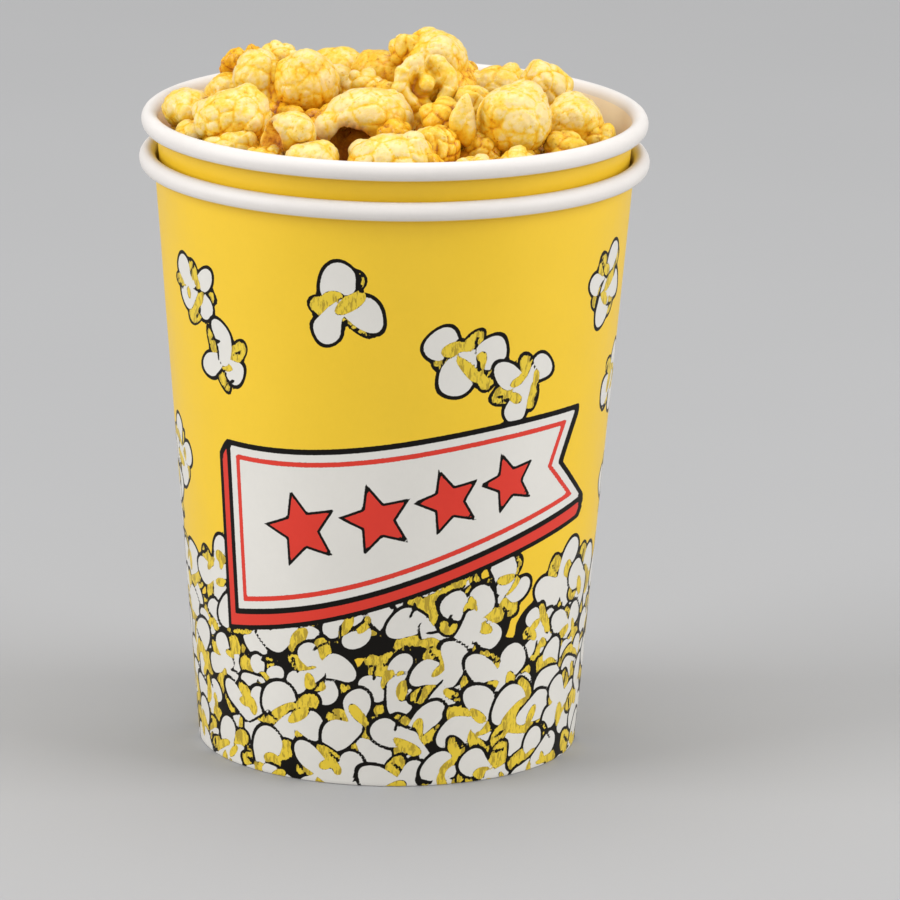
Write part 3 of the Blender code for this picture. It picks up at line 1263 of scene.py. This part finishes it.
SKINS = {
    Form.ROUND: Skin(
        buds=4, bud_depth=0.66, swell_cell=9.5, swell=0.34, cell=4.1, groove=0.56, sharpness=7.0
    ),
    Form.OVAL: Skin(buds=5, swell_cell=8.5, swell=0.62, cell=3.9, groove=0.42, sharpness=6.5),
    Form.CAP: Skin(
        buds=3, bud_depth=0.70, swell_cell=9.5, swell=0.45, cell=3.9, groove=0.38, sharpness=7.5
    ),
    Form.CURLY: Skin(buds=2, bud_size=(0.20, 0.30), swell_cell=5.5, swell=0.45, cell=3.2, groove=0.16),
    Form.NUB: Skin(buds=6, swell_cell=6.5, swell=1.0, cell=3.4, groove=0.26, sharpness=6.5),
    Form.LEAF: Skin(buds=0, swell=0.25, swell_cell=9.0, cell=5.5, groove=0.10, pinch=0.26, bow=0.30),
}


@dataclass(frozen=True)
class Puff:
    """One popped corn: form, middle and radius in metres, turn in degrees, and its looks."""

    form: Form
    middle: Vector
    radius: float
    turn: Triple
    # how toasted the puff is; for the sunk puffs and the core it is also painted shade
    toast_and_shade: float = 0.15
    mouth: Optional[Triple] = None  # direction of a torn opening, from the middle
    mouth_size: float = 0.46  # of the puff's radius


# The puffs that show at the front: form, middle, radius and turn, in millimetres and degrees,
# nearly all as in the CAD model. Then how toasted it is, and for a torn one where its opening
# faces and the opening's size.
FRONT_PUFFS = (
    ("round", (37.0, -38.0, 209.8), 12.2, (10, 0, 25), 0.06),
    ("leaf", (21.5, -46.0, 210.6), 9.4, (0, -8, 30), 0.10),
    ("nub", (27.0, -41.0, 199.6), 8.4, (0, 0, 250), 0.55),
    ("curly", (8.0, -15.0, 215.6), 10.0, (0, 0, 10), 0.20),
    ("round", (12.5, 6.0, 218.8), 11.2, (0, 0, 90), 0.12),
    ("nub", (4.0, 6.0, 222.8), 6.2, (0, 30, 130), 0.35),
    ("oval", (14.0, 2.0, 210.0), 12.0, (0, 0, 40), 0.55),
    ("cap", (-8.0, -30.0, 208.2), 12.6, (-12, 4, 8), 0.04, (-0.55, -0.55, -0.80), 0.62),
    ("round", (-28.0, -8.0, 214.2), 11.2, (0, 30, 60), 0.20),
    ("oval", (-42.0, -4.0, 213.0), 10.4, (0, 70, 20), 0.24),
    ("nub", (-36.0, 4.0, 219.4), 6.6, (0, 0, 140), 0.12),
    ("curly", (-46.5, 22.0, 211.6), 7.8, (0, 0, 200), 1.05, (0.2, -0.75, 0.4), 0.46),
    ("round", (-52.0, 21.0, 203.0), 9.4, (0, 0, 50), 0.40),
    ("oval", (-50.5, -31.0, 207.6), 11.0, (0, -8, 12), 0.16),
    ("cap", (-65.0, -8.0, 205.6), 8.8, (0, 20, 80), 0.22, (0.72, -0.55, 0.1), 0.42),
    ("nub", (-62.0, -6.0, 198.6), 9.0, (0, 0, 160), 0.45),
    ("cap", (-33.0, -48.0, 205.8), 9.4, (0, 40, 110), 0.14, (-0.78, -0.62, 0.05), 0.55),
    ("round", (-25.3, -59.0, 198.8), 8.6, (0, 0, 0), 0.14),
    ("oval", (-1.0, -58.0, 199.0), 12.2, (0, 0, 4), 0.08),
    ("nub", (13.0, -48.0, 202.8), 9.0, (0, 20, 100), 0.42),
    ("curly", (23.0, -58.0, 197.4), 8.6, (40, 0, 0), 0.22),
    ("nub", (15.0, -35.0, 208.8), 8.4, (0, 0, 60), 0.55),
    ("round", (56.0, -16.0, 203.4), 10.4, (20, 0, 90), 0.14),
    ("nub", (47.5, 6.0, 211.4), 9.0, (0, 40, 10), 0.10),
    ("round", (48.0, 8.0, 201.0), 9.6, (0, 0, 70), 0.45),
    ("nub", (53.0, -38.0, 200.4), 7.6, (0, 0, 200), 0.55),
    ("nub", (64.0, -22.0, 200.2), 6.4, (0, 0, 20), 0.50),
    ("oval", (-51.0, -42.0, 198.6), 8.2, (0, 0, 35), 0.16),
    ("nub", (-63.0, -26.0, 200.2), 7.4, (0, 0, 300), 0.18),
    ("cap", (-4.0, 14.0, 213.4), 9.6, (0, 0, 150), 0.62),
    ("round", (-18.0, 12.0, 206.8), 9.2, (0, 50, 10), 0.16),
    ("oval", (33.0, 26.0, 205.6), 9.6, (0, 0, 30), 0.22),
    ("nub", (38.0, -56.0, 199.2), 6.8, (0, 0, 80), 0.30),
    ("nub", (-40.0, -55.0, 198.6), 6.8, (0, 0, 10), 0.24),
)


# Level directions in which a puff is held against the wall.
WALL_WAYS = [Vector((math.cos(i * math.pi / 12), math.sin(i * math.pi / 12), 0)) for i in range(24)]


@dataclass
class Heap:
    """The popcorn: a lumpy core that fills the upper tub, coloured dark as painted shade, and the real
    puffs over it.
    """

    tub: TubSizes
    mound_top: float = 0.2100
    mound_fall: float = 0.0170  # how much lower the mound is at the wall
    mound_dip: float = 0.0120  # how much more than that at the back right
    dip_turn: float = math.radians(37)
    slack: float = 0.0006  # kept clear of the tub
    fill_radius: float = 0.0680
    fill_count: int = 190
    fill_sizes: Range = (0.0088, 0.0118)
    fill_sink: Range = (-0.0010, 0.0040)  # from the mound up to a puff's middle
    crowding: float = 0.86  # least distance of two puffs' middles, of their radii together
    golden_turn: float = math.radians(137.508)
    seed: int = 11
    low_radius: float = 0.0660
    low_count: int = 180
    low_sizes: Range = (0.0056, 0.0082)
    low_sink: Range = (-0.0046, -0.0006)
    low_crowding: float = 0.60
    # painted shade: the sunk puffs are drawn darker, as the gaps between the other puffs lie in shade
    low_shade: Range = (0.50, 1.15)
    gap: Triple = (-0.013, -0.045, 0.009)  # place and radius of the deepest gap, where the core is also painted darker as shade
    gap_depth: float = 0.011
    voxel: float = 0.00056
    mouth_out: float = 0.74  # from a puff's middle to that of its torn opening, of its radius
    cell_tries: int = 900  # points that are tried as the middle of a cell
    shade_reach: float = 0.0048  # how far from a touching puff the painted shade reaches
    core_bump: float = 0.0085  # distance from bump to bump on the core

    def cavity(self, height: Any) -> Any:
        """Inner radius of the upper tub at a height above the floor."""
        return self.tub.wall(np.minimum(height - self.tub.lift, self.tub.rim_height)) - self.tub.board

    def mound(self, x: Any, y: Any) -> Any:
        """Height of the bare mound at a place."""
        reach = self.cavity(self.mound_top)
        aside = np.maximum((x * math.cos(self.dip_turn) + y * math.sin(self.dip_turn)) / reach, 0.0)
        return self.mound_top - self.mound_fall * (x * x + y * y) / reach**2 - self.mound_dip * aside**2

    def reach(self, form: Form, turn: Triple, way: Vector) -> float:
        """How far a puff of radius 1 reaches.

        Args:
            form: Its form.
            turn: Its turn, in degrees.
            way: The direction, one unit long.

        Returns:
            The reach from its middle in that direction.
        """
        body, lobes = PUFF_FORMS[form]
        way = turned(turn).to_matrix().transposed() @ way
        reach = Vector(side * part for side, part in zip(body, way)).length
        return max([reach, *(Vector(lobe[:3]).dot(way) + lobe[3] for lobe in lobes)])

    def inside_tub(self, middle: Vector, form: Form, radius: float, turn: Triple) -> Vector:
        """Draw a puff in towards the axis until all of it clears the wall.

        Args:
            middle: The puff's middle.
            form: Its form.
            radius: Its radius.
            turn: Its turn, in degrees.

        Returns:
            The middle's new place.
        """
        middle = Vector(middle)
        for _ in range(2):
            over = self.slack - float(self.cavity(middle.z))
            over += max(middle.dot(way) + radius * self.reach(form, turn, way) for way in WALL_WAYS)
            if over > 0:
                middle -= Vector((middle.x, middle.y, 0)).normalized() * over
        return middle

    def puffs(self) -> list[Puff]:
        """The puffs that the CAD model has too, in its order and places.

        Returns:
            Those at the front, then a seeded spiral that fills the rest of the mound.
        """
        puffs = []
        for word, middle, radius, turn, *dress in FRONT_PUFFS:
            form, radius = Form(word), radius * MM
            place = self.inside_tub(Vector(middle) * MM, form, radius, turn)
            puffs.append(Puff(form, place, radius, turn, *dress))
        draw = random.Random(self.seed)
        looks = random.Random(self.seed + 1)
        forms = (Form.ROUND, Form.NUB, Form.OVAL, Form.NUB)
        for index in range(self.fill_count):
            across = self.fill_radius * math.sqrt((index + 0.5) / self.fill_count)
            angle = index * self.golden_turn
            radius = draw.uniform(*self.fill_sizes)
            x, y = across * math.cos(angle), across * math.sin(angle)
            height = float(self.mound(x, y)) + draw.uniform(*self.fill_sink)
            turn = tuple(draw.uniform(0, 360) for _ in range(3))
            form = forms[draw.randrange(len(forms))]
            middle = self.inside_tub(Vector((x, y, height)), form, radius, turn)
            if self.free(middle, radius, puffs, self.crowding):
                puffs.append(self.dressed(form, middle, radius, turn, looks))
        return puffs

    def free(self, middle: Vector, radius: float, puffs: Sequence[Puff], crowding: float) -> bool:
        """Whether a puff here keeps its distance from all the others."""
        return all((middle - p.middle).length > crowding * (radius + p.radius) for p in puffs)

    def dressed(self, form: Form, middle: Vector, radius: float, turn: Triple,
                looks: random.Random) -> Puff:
        """Draw the looks of a puff: most are pale and shut, some toasted or torn open.

        Args:
            form: The puff's form.
            middle: Its middle.
            radius: Its radius.
            turn: Its turn, in degrees.
            looks: Source of its looks.

        Returns:
            The puff.
        """
        toast_and_shade = 0.04 + 0.75 * looks.random() ** 2.4
        mouth = None
        if looks.random() < 0.20:
            angle = looks.uniform(0, 2 * math.pi)
            mouth = (0.8 * math.cos(angle), 0.8 * math.sin(angle), looks.uniform(0.1, 0.8))
        return Puff(form, middle, radius, turn, toast_and_shade, mouth, looks.uniform(0.34, 0.48))

    def low_puffs(self, puffs: Sequence[Puff]) -> list[Puff]:
        """Sink smaller puffs between the others, where the core would show, and colour them darker as
        painted shade in the gaps.

        Args:
            puffs: The puffs that show.

        Returns:
            The smaller ones.
        """
        draw = random.Random(self.seed + 2)
        low: list[Puff] = []
        for index in range(self.low_count):
            across = self.low_radius * math.sqrt((index + 0.5) / self.low_count)
            angle = index * self.golden_turn + 1.0
            radius = draw.uniform(*self.low_sizes)
            x, y = across * math.cos(angle), across * math.sin(angle)
            height = float(self.mound(x, y)) + draw.uniform(*self.low_sink)
            turn = tuple(draw.uniform(0, 360) for _ in range(3))
            middle = self.inside_tub(Vector((x, y, height)), Form.NUB, radius, turn)
            in_gap = math.hypot(middle.x - self.gap[0], middle.y - self.gap[1]) < self.gap[2]
            if not in_gap and self.free(middle, radius, [*puffs, *low], self.low_crowding):
                low.append(Puff(Form.NUB, middle, radius, turn, draw.uniform(*self.low_shade)))
        return low

    def fused(self, puff: Puff, number: int, voxel: float) -> bpy.types.Object:
        """Model one puff's mass: body, lobes and buds fused, its opening torn out.

        Args:
            puff: The puff.
            number: Its place in the heap, which seeds its buds.
            voxel: Size of the mesh's faces.

        Returns:
            A closed mesh in place.
        """
        body, lobes = PUFF_FORMS[puff.form]
        skin = SKINS[puff.form]
        rotation = turned(puff.turn).to_matrix()
        draw = random.Random(1000 + number)
        balls = [(puff.middle, 1.0, [puff.radius * side for side in body], puff.turn)]
        if puff.form is Form.CURLY:
            lobes = [(*lobe[:3], lobe[3] * CURLY_CORE) for lobe in lobes] + arm_balls()
        for x, y, z, size in lobes:
            place = puff.middle + rotation @ Vector((x, y, z)) * puff.radius
            balls.append((place, 1.0, [size * puff.radius] * 3, puff.turn))
        for bud in range(skin.buds):
            height = 1 - 2 * (bud + 0.5) / skin.buds
            angle = bud * self.golden_turn + draw.uniform(-0.5, 0.5)
            flat = math.sqrt(1 - height * height)
            way = Vector((flat * math.cos(angle), flat * math.sin(angle), height))
            way = Vector(c * side for c, side in zip(way, body)) * skin.bud_depth
            size = draw.uniform(*skin.bud_size) * puff.radius
            place = puff.middle + rotation @ way * puff.radius
            balls.append((place, 1.0, [size] * 3, puff.turn))
        obj = joined_balls(balls)
        apply_modifier(obj, "REMESH", mode="VOXEL", voxel_size=voxel * (1.3 if puff.mouth else 1.0))
        if puff.mouth:
            self.tear(obj, puff, number)
            apply_modifier(obj, "REMESH", mode="VOXEL", voxel_size=voxel)
        return obj

    def tear(self, obj: bpy.types.Object, puff: Puff, number: int) -> None:
        """Cut the opening out of a puff, with a ragged edge.

        Args:
            obj: The puff's mass.
            puff: The puff.
            number: Its place in the heap, which seeds the edge.
        """
        way = Vector(puff.mouth).normalized()
        size = puff.mouth_size * puff.radius
        draw = random.Random(3000 + number)
        balls = []
        for ball in range(4):
            off = Vector([draw.uniform(-0.5, 0.5) * size for _ in range(3)]) * (ball > 0)
            part = size * (1.0 if ball == 0 else draw.uniform(0.5, 0.75))
            place = puff.middle + way * puff.radius * self.mouth_out + off
            balls.append((place, part, (1.0, 1.0, 1.0), (0.0, 0.0, 0.0)))
        cutter = joined_balls(balls)
        apply_modifier(cutter, "REMESH", mode="VOXEL", voxel_size=self.voxel * 1.4)
        apply_modifier(obj, "BOOLEAN", operation="DIFFERENCE", object=cutter, solver="MANIFOLD")
        bpy.data.objects.remove(cutter)

    def contact_shade(self, points: np.ndarray, puff: Puff, others: Sequence[Puff]) -> np.ndarray:
        """Painted shade at each point, where a puff lies close to its neighbours.

        Args:
            points: Points of the puff's surface.
            puff: The puff.
            others: All puffs, this one among them.

        Returns:
            1 where it touches another puff, and 0 from a few millimetres away.
        """
        gap = np.full(len(points), 1.0)
        for other in others:
            apart = (other.middle - puff.middle).length
            if 0 < apart < (puff.radius + other.radius) * 1.2 + self.shade_reach:
                far = np.linalg.norm(points - np.array(other.middle), axis=1)
                gap = np.minimum(gap, far - other.radius * 0.92)
        return 1 - smoothstep(gap, 0.0, self.shade_reach)

    def pointed(self, points: np.ndarray, puff: Puff) -> np.ndarray:
        """Draw a puff's two ends to points that bend to one side.

        Args:
            points: Points of its surface.
            puff: The puff.

        Returns:
            The moved points.
        """
        skin, middle = SKINS[puff.form], np.array(puff.middle)
        turn = np.array(turned(puff.turn).to_matrix())
        own = (points - middle) @ turn / puff.radius
        own[:, :2] *= (1 - skin.pinch * smoothstep(np.abs(own[:, 2]), 0.1, 1.1))[:, None]
        own[:, 0] += skin.bow * (own[:, 2] ** 2 - 0.25)
        return middle + own @ turn.T * puff.radius

    def sculpt(self, obj: bpy.types.Object, puff: Puff, number: int, others: Sequence[Puff]) -> None:
        """Raise the folds and cracks of a puff, and keep how deep each point lies, as painted shade: darker
        in its cracks and hollows, on its underside and where it touches other puffs.

        Args:
            obj: The puff's fused mass.
            puff: The puff.
            number: Its place in the heap, which seeds its folds.
            others: All puffs, this one among them.
        """
        mesh, skin = obj.data, SKINS[puff.form]
        draw = np.random.default_rng(2000 + number)
        edges = read_edges(mesh)
        points = relaxed(read_points(mesh), edges, 6)
        if skin.pinch:
            points = self.pointed(points, puff)
        write_points(mesh, points)
        scorch = np.zeros(len(points))
        if puff.mouth:
            way = np.array(Vector(puff.mouth).normalized())
            size = puff.mouth_size * puff.radius
            off = points - (np.array(puff.middle) + way * puff.radius * self.mouth_out)
            inward = -(read_normals(mesh) @ way)
            near = 1 - smoothstep(np.linalg.norm(off, axis=1), size * 1.02, size * 1.45)
            sunk = smoothstep(-(off @ way), -0.35 * size, 0.35 * size)
            scorch = near * sunk * smoothstep(1 - inward, 0.3, 0.7)
        folds, cracks = np.zeros(len(points)), np.zeros(len(points))
        patch = smoothstep(rolling(points, 12 * MM, draw), -0.7, 0.7)
        for cell, depth, sharp, share in (
            (skin.swell_cell, skin.swell, 3.0, 1.0),
            (skin.cell, skin.groove, skin.sharpness, 0.66 + 0.34 * patch),
            (skin.cell * 0.52, skin.groove * 0.45, 4.0, 0.9 - 0.7 * patch),
        ):
            warp = np.stack([rolling(points, cell * 2.2 * MM, draw) for _ in range(3)], axis=1)
            bent = points + warp * cell * 0.24 * MM
            dome = self.domes(bent, cell * MM, sharp, draw)
            folds += dome * depth * share
            cracks = np.maximum(cracks, (1 - dome) * share * min(depth / 0.3, 1.0))
        folds += 0.06 * rolling(points, 1.6 * MM, draw)
        total = skin.swell + skin.groove
        raised = (folds - 0.62 * total) * MM * (1 - 0.5 * scorch)
        moved = points + read_normals(mesh) * raised[:, None]
        moved = relaxed(moved, edges, 1, 0.4)
        near, broad = relaxed(moved, edges, 12), relaxed(moved, edges, 60)
        write_points(mesh, moved)
        outward = read_normals(mesh)
        sunk = np.einsum("ij,ij->i", near - moved, outward) / MM
        hollow = np.einsum("ij,ij->i", broad - moved, outward) / MM
        below = (puff.middle.z - moved[:, 2]) / puff.radius
        # Painted shade: the cracks, sunk and hollow terms darken creases and hollows, the below term
        # darkens the puff's underside, and the last term darkens it where other puffs touch it.
        fold_shade = 0.08 + sunk * 0.8 + np.clip(hollow, -0.5, 0.8) * 0.35 + 0.27 * smoothstep(cracks, 0.50, 1.0)
        fold_shade += 0.40 * smoothstep(below, -0.45, 0.95) + 0.36 * self.contact_shade(moved, puff, others)
        write_value(mesh, "fold_shade", np.clip(fold_shade, 0, 1.2))
        write_value(mesh, "scorch", scorch)
        write_value(mesh, "toast_and_shade", np.full(len(points), puff.toast_and_shade))
        self.nestle(mesh)

    def domes(self, points: np.ndarray, cell: float, sharp: float, draw: np.random.Generator) -> np.ndarray:
        """Swelling cells with creases between them, 1 at a cell's middle and 0 at a crease.

        Args:
            points: Points of the surface.
            cell: Distance from cell to cell.
            sharp: How narrow the creases are.
            draw: Source of the cells' middles.

        Returns:
            One height for each point.
        """
        tries = points[draw.permutation(len(points))[: self.cell_tries]]
        apart = cell * (0.72 + 0.24 * rolling(tries, 2.6 * cell, draw))
        seeds = tries[:1]
        for spot, least in zip(tries[1:], apart[1:]):
            if np.min(np.sum((seeds - spot) ** 2, axis=1)) > least * least:
                seeds = np.vstack([seeds, spot])
        squares = (points**2).sum(axis=1)[:, None] - 2 * points @ seeds.T + (seeds**2).sum(axis=1)
        two = np.partition(squares, 1, axis=1)[:, :2]
        two = np.sqrt(np.maximum(two, 0.0))
        share = two[:, 0] / np.maximum(two[:, 1], 1e-9)
        return 1 - share**sharp

    def nestle(self, mesh: bpy.types.Mesh) -> None:
        """Keep a puff clear of the tub's wall and below the heap's known top.

        Args:
            mesh: The puff's mesh.
        """
        points = read_points(mesh)
        over = points[:, 2].max() - (CAD_BOX[1][2] - 0.0001)
        if over > 0:
            points[:, 2] -= over
        radius = np.hypot(points[:, 0], points[:, 1])
        limit = self.cavity(points[:, 2]) - 0.00035
        scale = np.where(points[:, 2] < self.tub.lift + self.tub.rim_height, limit / radius, 1.0)
        points[:, :2] *= np.minimum(scale, 1.0)[:, None]
        write_points(mesh, points)

    def core(self) -> bpy.types.Object:
        """Model the mound under the puffs, lumpy where it could show, and coloured dark amber as painted
        shade in the gaps between them.

        Returns:
            The core.
        """
        floor = self.tub.lift + self.tub.recess + self.tub.board + self.slack
        edge = self.mound_top - self.mound_fall - self.mound_dip
        brink = float(self.cavity(edge)) - self.slack
        rings = [(0.001, self.mound_top)]
        count = 44
        for ring in range(1, count + 1):
            across = brink * ring / count
            rings.append((across, float(self.mound(-across, 0.0))))
        rings.append((float(self.cavity(floor)) - self.slack, floor))
        rings.append((0.001, floor))
        obj = ring_stack("heap_core", 160, rings)
        points = read_points(obj.data)
        draw = np.random.default_rng(self.seed)
        top = points[:, 2] > edge
        points[top, 2] = self.mound(points[top, 0], points[top, 1]) - 0.0015
        dome = self.domes(points[top], self.core_bump, 3.0, draw)
        points[top, 2] += (dome - 0.8) * 0.004
        deep = np.hypot(points[:, 0] - self.gap[0], points[:, 1] - self.gap[1]) / self.gap[2]
        deep = 1 - smoothstep(deep, 0.5, 1.5)
        points[top, 2] -= self.gap_depth * deep[top]
        write_points(obj.data, points)
        # Painted shade: the core is coloured dark amber, partly with the hull colour and less glaze, and
        # darker between its bumps and in the deepest gap, as the gaps between the puffs lie in shade.
        fold_shade = np.full(len(points), 0.8)
        fold_shade[top] = 1.05 - 0.5 * dome + 0.5 * deep[top]
        write_value(obj.data, "fold_shade", fold_shade)
        write_value(obj.data, "scorch", np.full(len(points), 0.4))
        write_value(obj.data, "toast_and_shade", np.full(len(points), 0.85))
        activate(obj)
        bpy.ops.object.shade_smooth_by_angle(angle=math.radians(60))
        return obj

    def build(self, corn: bpy.types.Material, deep: bpy.types.Material) -> None:
        """Model every puff, and join those of one form to one piece.

        Args:
            corn: Material of the puffs.
            deep: Material of the core.
        """
        core = self.core()
        place_piece(core, "heap_core", "popcorn", (deep,))
        made: dict[str, list[bpy.types.Object]] = {}
        shown = self.puffs()
        low = self.low_puffs(shown)
        coarse = 1.0
        every = [*shown, *low]
        for number, puff in enumerate(every):
            is_low = number >= len(shown)
            voxel = self.voxel * coarse * (1.25 if is_low else 1.0)
            obj = self.fused(puff, number, voxel)
            self.sculpt(obj, puff, number, every)
            made.setdefault("low" if is_low else puff.form.value, []).append(obj)
        for word, objects in made.items():
            piece = activate(*objects)
            if len(objects) > 1:
                bpy.ops.object.join()
            bpy.ops.object.shade_smooth()
            place_piece(piece, f"puffs_{word}", "popcorn", (corn,))
        LOG.info("heap: %d puffs that show and %d sunk between them", len(shown), len(low))


# Floor, light and camera


@dataclass(frozen=True)
class Studio:
    """Plain grey floor, soft boxes and the camera at the photograph's angle."""

    rim: float = 0.080
    away: float = 30.86425  # the camera's distance, in rim radii
    above: float = 9.14967  # its height, in rim radii
    pitch: float = 0.25283  # its turns, in radians
    yaw: float = 0.00765
    roll: float = 0.01477
    lens: float = 320.0
    floor_radius: float = 9.0
    floor_colour: Triple = (0.362, 0.362, 0.366)
    sky: float = 0.42
    boxes: tuple = (  # name, place, aim, width and height, and watts of each soft box
        ("left box", (-2.9, -0.9, 1.5), (0, 0, 0.15), (2.0, 2.6), 86.0),
        ("front box", (0.3, -3.6, 1.0), (0, 0, 0.15), (2.6, 2.2), 29.0),
        ("right box", (2.9, -0.7, 1.5), (0, 0, 0.15), (2.0, 2.6), 77.0),
        ("top box", (0.0, 0.5, 3.4), (0, 0.3, 0.0), (2.6, 2.6), 72.0),
    )

    def camera(self) -> None:
        """Place the camera."""
        data = bpy.data.cameras.new("camera")
        data.lens = self.lens
        data.sensor_width = 36.0
        data.clip_end = 100.0
        obj = bpy.data.objects.new("camera", data)
        bpy.context.scene.collection.objects.link(obj)
        turn = (
            Matrix.Rotation(-self.yaw, 4, "Z")
            @ Matrix.Rotation(math.pi / 2 - self.pitch, 4, "X")
            @ Matrix.Rotation(self.roll, 4, "Z")
        )
        obj.matrix_world = Matrix.Translation((0, -self.away * self.rim, self.above * self.rim)) @ turn
        bpy.context.scene.camera = obj

    def softbox(self, name: str, place: Triple, aim: Triple, size: tuple[float, float],
                power: float) -> None:
        """Hang one rectangular soft light.

        Args:
            name: The light's name.
            place: Where it hangs.
            aim: What it points at.
            size: Its width and height.
            power: Its power in watts.
        """
        data = bpy.data.lights.new(name, "AREA")
        data.shape = "RECTANGLE"
        data.size, data.size_y = size
        data.energy = power
        obj = bpy.data.objects.new(name, data)
        bpy.context.scene.collection.objects.link(obj)
        way = Vector(aim) - Vector(place)
        obj.matrix_world = Matrix.Translation(place) @ way.to_track_quat("-Z", "Y").to_matrix().to_4x4()

    def floor(self) -> None:
        """Lay the floor: one wide disc with a faint unevenness."""
        deselect()
        bpy.ops.mesh.primitive_circle_add(vertices=64, radius=self.floor_radius, fill_type="NGON")
        obj = bpy.context.object
        obj.name = obj.data.name = "floor"
        settle(obj)
        finish = Finish("floor paper")
        pen = finish.pen
        cloud = pen.noise(pen.place(), 2.2, 3.0)
        tone = pen.fit(cloud, (0.3, 0.7), (0.985, 1.015))
        finish.set(
            Base_Color=pen.shade(self.floor_colour, tone), Roughness=0.75, Specular_IOR_Level=0.2
        )
        obj.data.materials.append(finish.material)

    def build(self) -> None:
        """Set up the whole studio."""
        scene = bpy.context.scene
        scene.view_settings.view_transform = "Standard"
        world = bpy.data.worlds.new("studio")
        world.use_nodes = True
        background = world.node_tree.nodes["Background"]
        background.inputs["Color"].default_value = (1.0, 1.0, 1.0, 1.0)
        background.inputs["Strength"].default_value = self.sky
        scene.world = world
        self.floor()
        for box in self.boxes:
            self.softbox(*box)
        self.camera()


def main() -> None:
    """Build the bucket and its studio."""
    logging.basicConfig(level=logging.INFO, format="%(name)s: %(message)s")
    grain, skin = board_grain_group(), corn_skin_group()
    printed = BoardFinish("printed board", YELLOW, printed=True).build(grain)
    yellow = BoardFinish("yellow board", YELLOW).build(grain)
    white = BoardFinish("white board", (0.68, 0.645, 0.615), roughness=0.5, fibre=1.4).build(grain)
    lining = BoardFinish("buttery board", (0.82, 0.72, 0.55), roughness=0.5, fibre=1.4).build(grain)
    corn = CornFinish("buttered corn").build(skin)
    deep = CornFinish("heap core corn", relief=0.8, subsurface=0.0).build(skin)
    outer = TubSizes(rim_radius=0.0806)
    inner = TubSizes(lift=outer.recess + outer.board + NEST_GAP)
    Tub("outer_tub_board", "outer_tub", outer, sides=460, rows=182, design=Design(), inner_rows=4).build(
        printed, white, lining
    )
    Tub("inner_tub_board", "inner_tub", inner, sides=280, rows=24).build(yellow, white, lining)
    Heap(inner).build(corn, deep)
    Studio().build()


if __name__ == "__main__":
    main()
